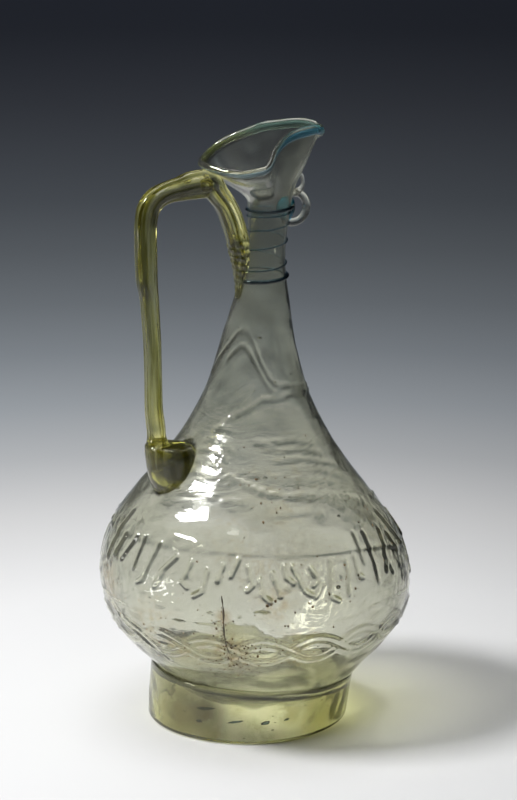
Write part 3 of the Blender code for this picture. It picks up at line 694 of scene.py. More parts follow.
def plait_relief(angle, height):
    """Two strands that swing about one line as sines, each a low band between two raised lines.

    Where they cross, one strand's lines go on and the other's stop, by turns.
    """
    phase = (angle - math.radians(PLAIT_TURN)) * PLAIT_EYES / 2
    swing = PLAIT_REACH * np.cos(phase)
    slope = PLAIT_REACH * PLAIT_EYES / 2 * np.sin(phase) / body_radius(height)
    square = np.sqrt(1 + slope ** 2)
    first = np.abs(height - PLAIT_HEIGHT - swing) / square - PLAIT_WIDTH
    second = np.abs(height - PLAIT_HEIGHT + swing) / square - PLAIT_WIDTH
    over = np.sin(phase) > 0
    upper, lower = np.where(over, first, second), np.where(over, second, first)
    lines = np.maximum(ridge(upper, PLAIT_LINE),
                       ridge(lower, PLAIT_LINE) * ease(upper / PLAIT_LINE))
    band = ease(1 - np.minimum(upper, lower) / PLAIT_LINE)
    return PLAIT_RELIEF * blend(lines, band, PLAIT_BAND)


def ledge_relief(angle, height):
    """A low step round the top of the stroke band, its rounded edge faint from handle to front."""
    turn = np.degrees(angle)
    turn = turn - 360 * np.floor((turn - LEDGE[0][0]) / 360)
    up = height - smooth_curve(LEDGE)(turn)
    edge = blend(LEDGE_EDGE, 1.0, ease((turn - LEDGE_TURN) / LEDGE_TURN_SPAN))
    step = ease(up / LEDGE_WIDTH * 0.5 + 0.5) * ease(1 - up / LEDGE_REACH)
    return LEDGE_STEP * (step + edge * ridge(up, LEDGE_WIDTH))


def oval_distance(angle, height, turn, middle, wide, tall):
    """Distance from an oval's middle over the surface, 1 at its edge."""
    away = half_turn(angle - math.radians(turn))
    return np.hypot(away * body_radius(height) / wide, (height - middle) / tall)


def dent_relief(angle, height):
    """Broad dents, (1 - distance squared) squared, and lumps, cones with a rounded top."""
    relief = np.zeros(angle.shape)
    for *oval, depth in DENTS:
        relief -= depth * ridge(oval_distance(angle, height, *oval), 1)
    for *oval, rise in LUMPS:
        away = oval_distance(angle, height, *oval)
        relief += rise * np.clip(1 - np.sqrt(away ** 2 + LUMP_ROUND), 0, 1)
    return relief


def pebbled_relief(angle, height):
    """Small unevenness that the mould left in the band of the strokes."""
    return window(height, *PEBBLED_SPANS) * wander(body_point(angle, height), PEBBLED)


def body_relief(angle, height):
    """How far the moulded surface stands off the plain body."""
    relief = stroke_relief(angle, height) + plait_relief(angle, height)
    relief += ledge_relief(angle, height) + dent_relief(angle, height)
    relief += pebbled_relief(angle, height)
    border = ridge(line_distance(angle, height, BORDER, 60), BORDER_WIDTH)
    mean, swing, count = BORDER_SWELL
    relief += BORDER_RELIEF * border * (mean + swing * np.cos(count * angle))
    for cord in CORDS:
        relief += CORD_RELIEF * ridge(line_distance(angle, height, cord), CORD_WIDTH)
    return relief


# Bubbles, soil and the crack


PEBBLE_SIDES = 7
PEBBLE_ROWS = 3
PEBBLE_ROUGH = (-0.35, 0.25)


def pebbles(centres, axes, seed=None):
    """Many small closed lumps: a rough ball round each centre, scaled along three axes.

    Points are centre + axes * (cos(row)cos(side), cos(row)sin(side), sin(row)), and with a seed
    each point stands out by its own share.
    """
    side, row = np.meshgrid(turns(PEBBLE_SIDES),
                            np.linspace(-0.5, 0.5, PEBBLE_ROWS + 2)[1:-1] * math.pi)
    ball = round_point(0.0, np.cos(row), side, np.sin(row)).reshape(-1, 3)
    ball = np.concatenate([ball, [[0, 0, -1], [0, 0, 1]]])
    rough = np.ones((len(centres), len(ball), 1))
    if seed is not None:
        rough += np.random.default_rng(seed).uniform(*PEBBLE_ROUGH, rough.shape)
    points = centres[:, None, :] + np.einsum("pk,nkj->npj", ball, axes) * rough
    faces = closed_faces([PEBBLE_SIDES] * PEBBLE_ROWS)
    every = [[number * len(ball) + at for at in face] for number in range(len(centres))
             for face in faces]
    return points.reshape(-1, 3), every


def wall_frames(angle, height, depth):
    """Places at a depth in the body's wall, and unit axes there: around, up the wall and out."""
    at = offset_point(body_point, angle, height, -depth)
    around = unit(body_point(angle + STEP, height) - body_point(angle - STEP, height))
    upward = unit(body_point(angle, height + STEP) - body_point(angle, height - STEP))
    return at, np.stack([around, upward, np.cross(around, upward)], axis=1)


BUBBLES = 260
BUBBLE_SIZES = (0.00012, 0.00042)
BUBBLE_HEIGHTS = (0.022, 0.200)
BUBBLE_STRETCH = 1.6
BUBBLE_THICKNESS = 0.3

# Large bubbles: degrees, height, radius
BIG_BUBBLES = ((-87, 0.0738, 0.0008), (-150, 0.1230, 0.0006), (-74, 0.0990, 0.0006),
               (-118, 0.1700, 0.0005), (-112, 0.1160, 0.0006))


def wall_bubbles():
    """Bubbles in the body's wall, drawn out a little round the axis, with a few large ones."""
    random = np.random.default_rng(5)
    angle = random.uniform(0, 2 * math.pi, BUBBLES)
    height = random.uniform(*BUBBLE_HEIGHTS, BUBBLES)
    size = blend(*BUBBLE_SIZES, random.power(0.5, BUBBLES))
    big_turn, big_height, big_size = np.array(BIG_BUBBLES).T
    angle = np.concatenate([angle, np.radians(big_turn)])
    height = np.concatenate([height, big_height])
    size = np.concatenate([size, big_size])
    at, axes = wall_frames(angle, height, THIN_WALL / 2)
    thick = np.minimum(size, BUBBLE_THICKNESS * THIN_WALL)
    stretch = np.stack([BUBBLE_STRETCH * size, size, thick], axis=-1)
    return pebbles(at, axes * stretch[..., None])


# Grains: degrees, height, size; patches: degrees, height, their spreads, count
SPECKS = ((-115, 0.0694, 0.0011), (-113.6, 0.0700, 0.0008), (-112, 0.0711, 0.0009),
          (-87, 0.0738, 0.0007), (-109, 0.0600, 0.0006), (-108, 0.0598, 0.0005),
          (-142, 0.0856, 0.0005), (-131, 0.0541, 0.0007), (-131.6, 0.0560, 0.0006),
          (-128, 0.0408, 0.0009), (-118, 0.1157, 0.0007), (-115, 0.1073, 0.0006),
          (-130, 0.0430, 0.0006), (-132, 0.0505, 0.0006))
SOIL_PATCHES = ((-131, 0.053, 1.6, 0.0080, 130), (-128, 0.0420, 9.0, 0.0045, 150),
                (-188, 0.066, 5.0, 0.0070, 90), (-105, 0.0480, 14.0, 0.0070, 90),
                (-150, 0.0500, 14.0, 0.0090, 130), (-80, 0.0720, 10.0, 0.0050, 40),
                (-100, 0.110, 22.0, 0.0080, 60), (-60, 0.085, 20.0, 0.0080, 60),
                (60, 0.055, 50.0, 0.0140, 90))
SOIL_SIZES = (0.00012, 0.00055)
SOIL_HEIGHTS = (0.024, 0.19)
SOIL_SHAPE = (0.8, 1.0, 0.5)
SOIL_SPREAD = (0.7, 1.3)


def make_soil():
    """Crumbs of burial soil on the inner wall, in patches, and a few larger dark grains."""
    random = np.random.default_rng(17)
    rows = [np.array(SPECKS)]
    for turn, height, spread, tall, count in SOIL_PATCHES:
        sizes = blend(*SOIL_SIZES, random.power(0.5, count))
        rows.append(np.stack([random.normal(turn, spread, count),
                              random.normal(height, tall, count), sizes], axis=-1))
    rows = np.concatenate(rows)
    at, axes = wall_frames(np.radians(rows[:, 0]), np.clip(rows[:, 1], *SOIL_HEIGHTS), THIN_WALL)
    stretch = rows[:, 2:] * np.array(SOIL_SHAPE) * random.uniform(*SOIL_SPREAD, (len(rows), 3))
    return mesh_piece("ewer_soil", *pebbles(at, axes * stretch[..., None], seed=3))


CRACK_SLIVER = 0.00050
CRACK_ROWS = 24


def make_crack():
    """The dark crack in the wall: a thin upright blade, widest in its middle, along its line."""
    run = np.linspace(0, 1, CRACK_ROWS)[:, None]
    turn, height = carried(np.array(CRACK), np.ones(len(CRACK) - 1), CRACK_ROWS).T[..., None]
    around = turns(8)[None, :]
    taper = np.sin(math.pi * (0.03 + 0.94 * run) ** 0.7)
    half = CRACK_SLIVER * taper * (0.7 + 0.3 * np.sin(23 * run))
    angle = np.radians(turn) + half * np.cos(around) / body_radius(height)
    depth = THIN_WALL * (0.5 + 0.34 * np.sin(around))
    return tube("ewer_crack", offset_point(body_point, angle, height + 0 * around, -depth))


# The vessel


BASE_ROWS = np.array([0.35, 0.62, 0.82, 0.95])
FLOOR_SHARE = 0.92
ROUND = 240
RIM_ROWS = 8
CORE_RISE = 0.002
MOUTH_ROWS = np.concatenate([np.linspace(0, 0.88, 24), np.linspace(0.89, 1, 8)])
INNER_MOUTH_ROWS = np.concatenate([np.linspace(1, 0.88, 8), np.linspace(0.85, 0.02, 20)])
INNER_ROWS = np.concatenate([np.linspace(NECK_TOP, BELLY_HEIGHT, 60),
                             np.linspace(BELLY_HEIGHT - 0.002, BASE_HEIGHT + 0.003, 26)])
CALM = 0.35
CALM_FOOT = (0.022, 0.034)
CALM_NECK = ((0.180, 0.200), (0.228, 0.234))
GATHER = 0.40
GATHER_SPANS = ((0.010, 0.036), (0.120, 0.170))
# Slope of the relief at which its flanks take the full mark of grime and painted shade
GRIME_AND_FLANK_SHADE_SLOPE = 0.40
OUTER_WAVES = ((0.00018, 0.030, 11), (0.00008, 0.013, 12), (0.00003, 0.0065, 13))
INNER_WAVES = ((0.00020, 0.030, 23), (0.00010, 0.014, 24), (0.00004, 0.0070, 25))

# Bands of the outer body: heights, rows, columns, and whether the end rows are kept
BODY_BANDS = ((BASE_HEIGHT, 0.038, 22, ROUND), (0.038, 0.060, 26, 2 * ROUND, (False, True)),
              (0.060, 0.098, 58, 2 * ROUND, (False, False)),
              (0.098, 0.176, 66, ROUND, (True, False)),
              (0.176, NECK_TOP, 26, ROUND // 2, (True, False)))


def uneven(points, waves, free=None):
    """Lets a surface wander out and in from the axis: waves, calmer at neck and foot."""
    if free is None:
        height = points[..., 2]
        low = (height - CALM_FOOT[0]) / (CALM_FOOT[1] - CALM_FOOT[0])
        free = blend(CALM, 1.0, ease(low) * (1 - window(height, *CALM_NECK)))
    away = points[..., :2]
    away = away / np.maximum(np.linalg.norm(away, axis=-1, keepdims=True), STEP)
    moved = points.copy()
    moved[..., :2] += away * (free * wander(points, waves))[..., None]
    return moved


def gather(angle, height):
    """Draws a grid's columns together on the side that the photo shows: angle less a share of its
    sine from there, fading toward the base and the neck."""
    much = GATHER * window(height, *GATHER_SPANS)
    return angle - much * np.sin(angle - math.radians(THREAD_FRONT))


def body_grid(low, high, rows, count, ends=(True, True)):
    """The outer surface between two heights, with the mould's relief, and its mark of grime and painted
    shade on the relief's steep flanks.
    """
    heights = np.linspace(low, high, rows + 1)[int(not ends[0]):rows + int(ends[1])]
    angle, height = np.meshgrid(turns(count), heights)
    angle = gather(angle, height)
    surface = body_point(angle, height)
    relief = body_relief(angle, height)
    normal = offset_point(body_point, angle, height, 1.0) - surface
    across = body_radius(height) * np.gradient(angle, axis=1)
    steep = np.hypot(np.gradient(relief, axis=1) / across,
                     np.gradient(relief, axis=0) / (heights[1] - heights[0]))
    grime_and_flank_shade = np.clip(steep / GRIME_AND_FLANK_SHADE_SLOPE, 0, 1)
    moved = uneven(surface + normal * relief[..., None], OUTER_WAVES)
    return np.concatenate([moved, grime_and_flank_shade[..., None]], axis=-1)


def rim_bead(angle, share):
    """Swelling of the rim on both sides, a little below the lip."""
    drop = (1 - share) * (lip_point(angle) - body_point(angle, NECK_TOP))[..., 2]
    tip = 1 + TIP_BEAD * ease((along_lip(angle) - TIP_BEAD_START) / (1 - TIP_BEAD_START))
    return RIM_BEAD * tip * ridge(np.maximum(drop - RIM_BEAD_DROP, 0), RIM_BEAD_WIDTH)


def mouth_grid(shares, count, inner=False):
    """The mouth's outer or inner surface at shares of the way up to the lip, with its rim bead."""
    angle, share = np.meshgrid(turns(count), shares)
    bead = rim_bead(angle, share)
    if inner:
        return uneven(offset_point(mouth_point, angle, share, -THIN_WALL - bead), INNER_WAVES)
    return uneven(offset_point(mouth_point, angle, share, bead), OUTER_WAVES)


def rim_grid(count, rows):
    """The rounded crest: half an oval from the outer edge over the lip to the inner edge."""
    outer, inner = mouth_grid([1.0], count)[0], mouth_grid([1.0], count, True)[0]
    middle = (outer + inner) / 2
    crest = middle.copy()
    crest[:, 2] = lip_point(turns(count))[:, 2]
    over = np.linspace(0, math.pi, rows + 2)[1:-1, None, None]
    return middle + (outer - middle) * np.cos(over) + (crest - middle) * np.sin(over)


def inner_body_grid(heights, count):
    """The body's inner surface, which is smooth and a little uneven."""
    angle, height = np.meshgrid(turns(count), heights)
    return uneven(offset_point(body_point, angle, height, -THIN_WALL), INNER_WAVES)


def make_vessel():
    """The blown vessel: base, body, mouth and rim outside, then back down inside."""
    half = ROUND // 2
    base = base_point(*np.meshgrid(turns(half), BASE_ROWS))
    floor = base_point(*np.meshgrid(turns(half), BASE_ROWS[::-1] * FLOOR_SHARE))
    floor = floor + np.array([0, 0, WALL])
    grids = [base, *[body_grid(*band) for band in BODY_BANDS],
             mouth_grid(MOUTH_ROWS, ROUND), rim_grid(ROUND, RIM_ROWS),
             mouth_grid(INNER_MOUTH_ROWS, half, True), inner_body_grid(INNER_ROWS, half), floor]
    under = np.array([lean(BASE_HEIGHT), 0.0, BASE_HEIGHT + BASE_KICK])
    return loft("ewer_vessel", grids, (under, under + np.array([0, 0, WALL])), wall_bubbles())


def make_core():
    """The vessel's outer form sunk a little, closed at the mouth: what fused pieces stop at."""
    base = BASE_HEIGHT + CORE_RISE
    angle, height = np.meshgrid(turns(ROUND // 2), np.linspace(base, NECK_TOP, 80))
    body = offset_point(body_point, angle, height, -FUSE)
    angle, share = np.meshgrid(turns(ROUND // 2), np.linspace(0.05, 1.0, 18))
    mouth = offset_point(mouth_point, angle, share, -FUSE)
    core = loft("core", [body, mouth], ((lean(BASE_HEIGHT), 0.0, base), mouth[-1].mean(axis=0)))
    core.data.materials.append(bpy.data.materials.new("cut"))
    return core


# The foot


def foot_ring(height):
    """Middle on X and radius of the foot's outer wall, which leans and flares upward."""
    share = height / FOOT_TOP
    return blend(FOOT_SHIFT, FOOT_TOP_SHIFT, share), blend(FOOT_RADIUS, FOOT_TOP_RADIUS, share)


def foot_point(angle, inward, height):
    """A point of the foot, so far in from its outer wall."""
    x, radius = foot_ring(height)
    return round_point(x, radius - inward, angle, height)


def foot_face(angle, height):
    """A point of the foot's outer wall."""
    return foot_point(angle, 0.0, height)


def foot_inward(points):
    """How far points lie inside the foot's outer wall, measured level."""
    x, radius = foot_ring(points[..., 2])
    return radius - np.hypot(points[..., 0] - x, points[..., 1])


def meeting_height(angle, inward):
    """Height where the foot's wall has sunk into the body by the fuse depth, by halving."""
    low = np.full(angle.shape, BASE_HEIGHT)
    high = np.full(angle.shape, BELLY_HEIGHT)
    for _ in range(30):
        height = (low + high) / 2
        point = foot_point(angle, inward, height)
        reach = np.hypot(point[..., 0] - lean(height), point[..., 1])
        under = reach > body_radius(height) - FUSE * slant(height)
        low = np.where(under, height, low)
        high = np.where(under, high, height)
    return (low + high) / 2


def make_foot():
    """The foot: a rounded ring with a flat rest, whose top follows the body it is fused to."""
    angle = turns(ROUND)
    corner = [(FOOT_EDGE * (1 - math.sin(turn)), FOOT_EDGE * (1 - math.cos(turn)))
              for turn in np.linspace(0, math.pi / 2, 7)]
    rings = [foot_point(angle, inward, height) for inward, height in corner]
    outer_top = meeting_height(angle, FOOT_SHOULDER)
    for share in FOOT_ROWS:
        height = blend(FOOT_EDGE, outer_top, share)
        turn = np.clip(1 - (outer_top - height) / FOOT_SHOULDER_RISE, 0, 1)
        rings.append(foot_point(angle, FOOT_SHOULDER * (1 - np.sqrt(1 - 0.98 * turn ** 2)), height))
    for inward in blend(FOOT_SHOULDER, FOOT_WALL, np.linspace(0.2, 0.8, 4)):
        rings.append(foot_point(angle, inward, meeting_height(angle, inward)))
    inner_top = meeting_height(angle, FOOT_WALL)
    rings += [foot_point(angle, FOOT_WALL, blend(FOOT_EDGE, inner_top, share))
              for share in np.linspace(1.0, 0.08, 14)]
    rings += [foot_point(angle, FOOT_WALL - inward, height) for inward, height in corner[::-1]]
    grid = np.array(rings)
    lift = np.clip(grid[..., 2] / FOOT_TOP, 0, 1)
    free = lift * (1 - lift) * 4 * (1 + FOOT_INNER * np.clip(foot_inward(grid) / FOOT_WALL, 0, 1))
    foot = loft("ewer_foot", [uneven(grid, FOOT_WAVES, free)], None, foot_bubbles())
    points = mesh_points(foot)
    sunk = body_radius(points[:, 2]) - np.hypot(points[:, 0] - lean(points[:, 2]), points[:, 1])
    wall = np.abs(foot_inward(points) - FOOT_WALL / 2) < FOOT_WALL
    mark_points(foot, "fused", np.where(wall, np.clip(0.5 + sunk / GROOVE / 2, 0, 1), 0.0))
    return foot


def level_axes(angle):
    """Unit axes at an angle round the body: around it, straight up and straight out."""
    out = round_point(0.0, 1.0, angle, 0.0)
    return round_point(0.0, 1.0, angle + math.pi / 2, 0.0), np.array([0.0, 0.0, 1.0]) + 0 * out, out


def foot_bubbles():
    """Bubbles in the foot's wall, drawn out round it."""
    random = np.random.default_rng(37)
    angle = random.uniform(0, 2 * math.pi, FOOT_BUBBLES)
    height = random.uniform(*FOOT_BUBBLE_HEIGHTS, FOOT_BUBBLES)
    at = foot_point(angle, random.uniform(*FOOT_BUBBLE_PLACES, FOOT_BUBBLES) * FOOT_WALL, height)
    around, up, out = level_axes(angle)
    size = blend(*FOOT_BUBBLE_SIZES, random.power(0.5, FOOT_BUBBLES))[:, None]
    long = size * random.uniform(1, 3, FOOT_BUBBLES)[:, None]
    return pebbles(at, np.stack([around * long, up * size, out * size * FOOT_BUBBLE_FLAT], axis=1))


# Dark bluish seams in the foot: degrees, height, half length, half height; and how they slope,
# their half thickness and the share of the wall that they lie at
FOOT_SEAMS = ((-150, 0.0080, 0.0016, 0.0007), (-128, 0.0094, 0.0042, 0.0005),
              (-110, 0.0088, 0.0020, 0.0008), (-98, 0.0096, 0.0012, 0.0005),
              (-148, 0.0138, 0.0046, 0.0006), (75, 0.0090, 0.0026, 0.0006),
              (150, 0.0085, 0.0030, 0.0005))
SEAM_SLOPE = 0.15
SEAM_THICKNESS = 0.00035
SEAM_DEPTH = 0.55


def make_foot_seams():
    """The dark bluish seams and cords inside the foot's wall, as thin rough lumps."""
    turn, height, long, tall = np.array(FOOT_SEAMS).T
    angle = np.radians(turn)
    around, up, out = level_axes(angle)
    axes = np.stack([(around + SEAM_SLOPE * up) * long[:, None], up * tall[:, None],
                     out * SEAM_THICKNESS], axis=1)
    at = foot_point(angle, SEAM_DEPTH * FOOT_WALL, height)
    return mesh_piece("ewer_foot_seams", *pebbles(at, axes, seed=29))


# The handle, the threads and the ring


def fold_place():
    """Where the handle folds under the lip: its place along X and its height."""
    return float(lean(NECK_TOP)) - MOUTH_BACK + HANDLE_FOLD_INSET, LIP_LOW - HANDLE_FOLD_DROP


def side_of_neck(height, way):
    """Place along X of the body's surface: way is -1 on the handle's side, 1 on the spout's."""
    return float(lean(height) + way * body_radius(height))


def handle_route():
    """Rows of the handle's route: place along X, height, half thickness, half width."""
    thick = HANDLE_THICKNESS / 2
    rows = []
    for rise, off, slim, wide in HANDLE_TAIL:
        height = NECK_TOP - HANDLE_TAIL_DROP + rise
        rows.append((side_of_neck(height, -1) - off, height, thick * slim, thick * wide))

    neck_x, neck_z = rows[-1][:2]
    fold_x, fold_z = fold_place()
    for share, bow, slim, wide in HANDLE_STRAP:
        rows.append((blend(neck_x, fold_x, share) + bow, blend(neck_z, fold_z, share),
                     thick * slim, thick * wide))
    rows.append((fold_x, fold_z, thick * HANDLE_FOLD[0], thick * HANDLE_FOLD[1]))

    rod_x = thick - HANDLE_REACH
    for share, drop, slim in HANDLE_ARM:
        rows.append((blend(fold_x, rod_x, share), fold_z - drop, thick * slim, thick * slim))
    bend_z = fold_z - HANDLE_BEND
    for share, sway, slim in HANDLE_ROD:
        rows.append((rod_x + sway, blend(bend_z, PAD_HEIGHT, share), thick * slim, thick * slim))
    for sway, rise, share in HANDLE_PAD:
        wide = HANDLE_PAD_RADIUS * share
        rows.append((rod_x + sway, PAD_HEIGHT + rise, wide, wide))
    return rows


def swept_grid(rows, stations, sides, section, level=2.0):
    """Oval sections square to a route in the XZ plane, and the route's two ends.

    section scales the oval by the side's angle and the share of the way along. From the share
    called level on, the sections turn level; none do where it is over 1.
    """
    rows = np.array(rows)
    x, z, thick, wide = carried(rows, np.hypot(*np.diff(rows[:, :2], axis=0).T), stations).T
    along = unit(np.stack([np.gradient(x), np.gradient(z)], axis=-1))
    angle, share = np.meshgrid(turns(sides), np.linspace(0, 1, stations))
    turned = ease((share[:, :1] - level) / PAD_TURN)
    along = unit(blend(along, np.array([0.0, -1.0]), turned))
    scale = section(angle, share)
    across = thick[:, None] * np.cos(angle) * scale
    side = wide[:, None] * np.sin(angle) * scale
    grid = np.stack([x[:, None] + across * along[:, 1:], side,
                     z[:, None] - across * along[:, :1]], axis=-1)
    return grid, ((x[0], 0.0, z[0]), (x[-1], 0.0, z[-1]))


def handle_section(angle, share):
    """The drawn rod's section: soft ribs that turn slowly; two strands on the strap, with a groove
    on each flank between them; a crumpled tail; a waist above the pad's drum; a flat at the bend."""
    groove = np.abs(np.sin(angle + STRAP_TWIST * (share - STRAP_MIDDLE))) ** 10
    groove = STRAP_GROOVE * window(share, *STRAP_SPANS) * groove
    plain = 1 - ease((share - PAD_START) / PAD_FADE)
    ribs = sum(size * np.cos(count * angle + twist * share + start)
               for size, count, twist, start in RIBS)
    tail = 1 - ease((share - TAIL_END) / TAIL_FADE)
    crumple = TAIL_CRUMPLE * np.sin(5 * angle + 170 * share) * np.sin(3 * angle - 260 * share)
    waist = WAIST * ridge(share - WAIST_PLACE, WAIST_LENGTH)
    flat = BEND_FLAT * ridge(half_turn(angle - BEND_FLAT_TURN), BEND_FLAT_WIDTH)
    flat = flat * ridge(share - BEND_FLAT_PLACE, BEND_FLAT_LENGTH)
    return 1 + ribs * plain + crumple * tail - waist - groove - flat


HANDLE_BUBBLES = ((0.262, 0.0, 0.30, 0.0014, 1.0), (0.275, -0.5, 0.2, 0.0009, 1.6),
                  (0.245, -0.4, -0.2, 0.0008, 2.0), (0.300, -0.3, 0.3, 0.0006, 3.0),
                  (0.33, -0.45, -0.3, 0.0004, 9.0), (0.36, 0.1, 0.4, 0.0005, 6.0),
                  (0.52, -0.55, 0.1, 0.00028, 30.0), (0.60, -0.35, -0.5, 0.00025, 40.0),
                  (0.66, -0.6, -0.2, 0.00025, 34.0), (0.58, -0.1, 0.5, 0.0003, 26.0),
                  (0.965, -0.3, 0.3, 0.0010, 1.2), (0.955, -0.5, -0.3, 0.0008, 1.4),
                  (0.975, -0.4, 0.0, 0.0012, 1.0), (0.05, -0.3, 0.2, 0.0007, 1.5),
                  (0.07, -0.5, -0.3, 0.0006, 2.0), (0.09, -0.4, 0.3, 0.0008, 1.5),
                  (0.11, -0.5, 0.0, 0.0007, 2.2), (0.13, -0.3, -0.4, 0.0006, 2.5))


def handle_bubbles(grid):
    """Bubbles in the handle, (share along, side, across, radius, length in radii), drawn out along
    it: each lies among the four corners of its section, by its shares of the half width."""
    share, off_side, off_across, size, long = np.array(HANDLE_BUBBLES).T[..., None]
    middles = grid.mean(axis=1)
    along = unit(np.gradient(middles, axis=0))
    at = np.clip((share[:, 0] * (len(grid) - 1)).round().astype(int), 1, len(grid) - 2)
    side = grid[at, grid.shape[1] // 4] - middles[at]
    across = grid[at, 0] - middles[at]
    centres = middles[at] + side * off_side + across * off_across
    axes = [unit(side) * size, unit(across) * size, along[at] * size * long]
    return pebbles(centres, np.stack(axes, axis=1))


def add_cavities(piece, points, faces):
    """Adds closed cavities, whose faces are turned to look inward, to a piece's mesh."""
    corners = mesh_points(piece)
    every = [list(polygon.vertices) for polygon in piece.data.polygons]
    fused = np.zeros(len(every))
    piece.data.attributes["fused"].data.foreach_get("value", fused)
    every += turned_faces(faces, len(corners))
    mesh = bpy.data.meshes.new(piece.name)
    mesh.from_pydata(np.concatenate([corners, points]).tolist(), [], every)
    mesh.shade_smooth()
    piece.data = mesh
    mark_faces(mesh, np.pad(fused, (0, len(faces))))


def rod_places(points, grid):
    """Where points of the handle lay in the straight rod that it was drawn from: across, aside and
    along it, by the nearest section of the sweep."""
    middles = grid.mean(axis=1)
    nearest = np.linalg.norm(points[:, None] - middles[None], axis=-1).argmin(axis=1)
    away = points - middles[nearest]
    across = unit(grid[nearest, 0] - middles[nearest])
    run = nearest / (len(grid) - 1) * HANDLE_RUN
    return np.stack([(away * across).sum(axis=-1), away[:, 1], run], axis=-1)


def make_handle(core):
    """The handle, from its tail on the neck up to the fold, out and down to its pad.

    Each vertex keeps its place in the straight rod that it was drawn from, for the streaks.
    """
    grid, poles = swept_grid(handle_route(), 300, 48, handle_section, PAD_START)
    handle = loft("ewer_handle", [grid], poles)
    cut_away(handle, core)
    add_cavities(handle, *handle_bubbles(grid))
    mark_points(handle, "drawn", rod_places(mesh_points(handle), grid))
    return handle, grid


def make_fold_curl():
    """The small curl at the fold, where the trail was doubled over: a tube wound into a spiral."""
    share, around = np.meshgrid(np.linspace(0, 1, 70), turns(14), indexing="ij")
    turn = CURL_START + share * CURL_TURNS * 2 * math.pi
    thick = CURL_TUBE * blend(CURL_SLIM, 1.0, np.sin(math.pi * (0.08 + 0.84 * share)))
    reach = CURL_RADIUS * (1 - CURL_CLOSE * share) + thick * np.cos(around)
    side, up, out = level_axes(np.array(math.radians(THREAD_FRONT)))
    fold_x, fold_z = fold_place()
    middle = np.array([fold_x, 0.0, fold_z]) + out * CURL_STAND + side * CURL_ASIDE
    points = (middle + side * (reach * np.cos(turn))[..., None]
              + up * (reach * np.sin(turn))[..., None] + out * (thick * np.sin(around))[..., None])
    return tube("ewer_fold_curl", points)


def make_neck_thread():
    """The thread wound up the neck: a helix whose climb follows the turns, thick at its ends."""
    first, last = THREAD_CLIMB[0][0], THREAD_CLIMB[-1][0]
    turn = np.linspace(first, last, 480)[:, None]
    around = turns(12)[None, :]
    angle = math.radians(THREAD_FRONT) + turn * 2 * math.pi + 0 * around
    end = np.maximum(1 - (turn - first) / THREAD_START_TAPER, 1 - (last - turn) / THREAD_END_TAPER)
    tip = ease(np.minimum(turn - first, last - turn) / THREAD_TIP)
    half = blend(THREAD_THIN, THREAD_THICK, ease(end)) / 2 * blend(THREAD_TIP_SHARE, 1.0, tip)
    height = THREAD_LOW + THREAD_BAND * thread_climb(turn) + half * np.sin(around)
    return tube("ewer_neck_thread", body_point(angle, height, half * (THREAD_STAND + np.cos(around))))


def make_dab():
    """The blue dab on the neck inside the ring: a low dome on a sunk base."""
    arc = np.linspace(*DAB_ARC, 9)
    share = np.concatenate([DAB_SUNK[0], np.cos(arc)])[:, None]
    rise = np.concatenate([DAB_SUNK[1], np.sin(arc)])[:, None]
    around = turns(36)[None, :]
    height = RING_HEIGHT + DAB_HALF_HEIGHT * share * np.sin(around)
    angle = DAB_HALF_WIDTH * share * np.cos(around) / body_radius(height)
    return tube("ewer_dab", body_point(angle, height, DAB_THICKNESS * rise + 0 * around))


def make_lip_thread():
    """The flat thread under the lip, fused to the mouth: wider along the beak, slim at its tip."""
    angle, around = np.meshgrid(turns(ROUND), turns(16), indexing="ij")
    along = along_lip(angle)
    beak = ease((along - BEAK_THREAD_START) / BEAK_THREAD_LENGTH)
    half = blend(LIP_THREAD_WIDTH, BEAK_THREAD_WIDTH, beak) / 2
    start, length, slimmer = BEAK_TIP
    half = half * (1 - slimmer * ease((along - start) / length))
    height = (lip_point(angle) - body_point(angle, NECK_TOP))[..., 2]
    share = 1.0 - half * (1 - np.sin(around)) / height
    depth = LIP_THREAD_THICKNESS / 2 * (LIP_THREAD_STAND + np.cos(around))
    return loft("ewer_lip_thread", [offset_point(mouth_point, angle, share, depth)])


def ring_route():
    """Rows of the ring's route: out of the neck, round a loop, and up a thin curl."""
    half = RING_THICKNESS / 2
    centre_x = side_of_neck(RING_HEIGHT, 1) + RING_STAND
    rows = []
    for degrees in RING_LOOP:
        angle = math.radians(degrees)
        rows.append((centre_x + RING_RADIUS * math.cos(angle),
                     RING_HEIGHT + RING_RADIUS * math.sin(angle), half, half))
    for out, rise, slim in RING_CURL:
        rows.append((centre_x + out, RING_HEIGHT + RING_RADIUS + RING_CURL_RISE * rise,
                     half * slim, half * slim))
    return rows


def make_ring(core):
    """The small ring under the spout."""
    grid, poles = swept_grid(ring_route(), 110, 28,
                             lambda angle, share: 1 + RING_UNEVEN * np.cos(2 * angle + 4 * share))
    ring = loft("ewer_ring", [grid], poles)
    cut_away(ring, core)
    return ring, grid


# Shader nodes


def fill(tree, node, inputs):
    """Gives a node its inputs: a socket is linked, anything else is set on the input itself."""
    for name, value in inputs.items():
        if isinstance(value, bpy.types.NodeSocket):
            tree.links.new(value, node.inputs[name])
        else:
            node.inputs[name].default_value = value


def add_node(tree, kind, inputs=None, **settings):
    """Adds a shader node with its settings and its inputs."""
    node = tree.nodes.new("ShaderNode" + kind)
    for name, value in settings.items():
        setattr(node, name, value)
    fill(tree, node, inputs or {})
    return node


def own_place(tree):
    """A point's place in its piece's own coordinates."""
    return add_node(tree, "TexCoord").outputs["Object"]


def own_mark(tree, name):
    """The outputs of a mark that a piece's mesh carries."""
    return add_node(tree, "Attribute", attribute_name=name).outputs


def parts_of(tree, place):
    """The X, Y and Z of a place."""
    return add_node(tree, "SeparateXYZ", {0: place}).outputs


def reckon(tree, operation, *values, **settings):
    """The result of a sum on numbers or sockets."""
    inputs = dict(enumerate(values))
    return add_node(tree, "Math", inputs, operation=operation, **settings).outputs[0]


def vector_sum(tree, operation, *values):
    """The outputs of a sum on vectors or sockets."""
    return add_node(tree, "VectorMath", dict(enumerate(values)), operation=operation).outputs


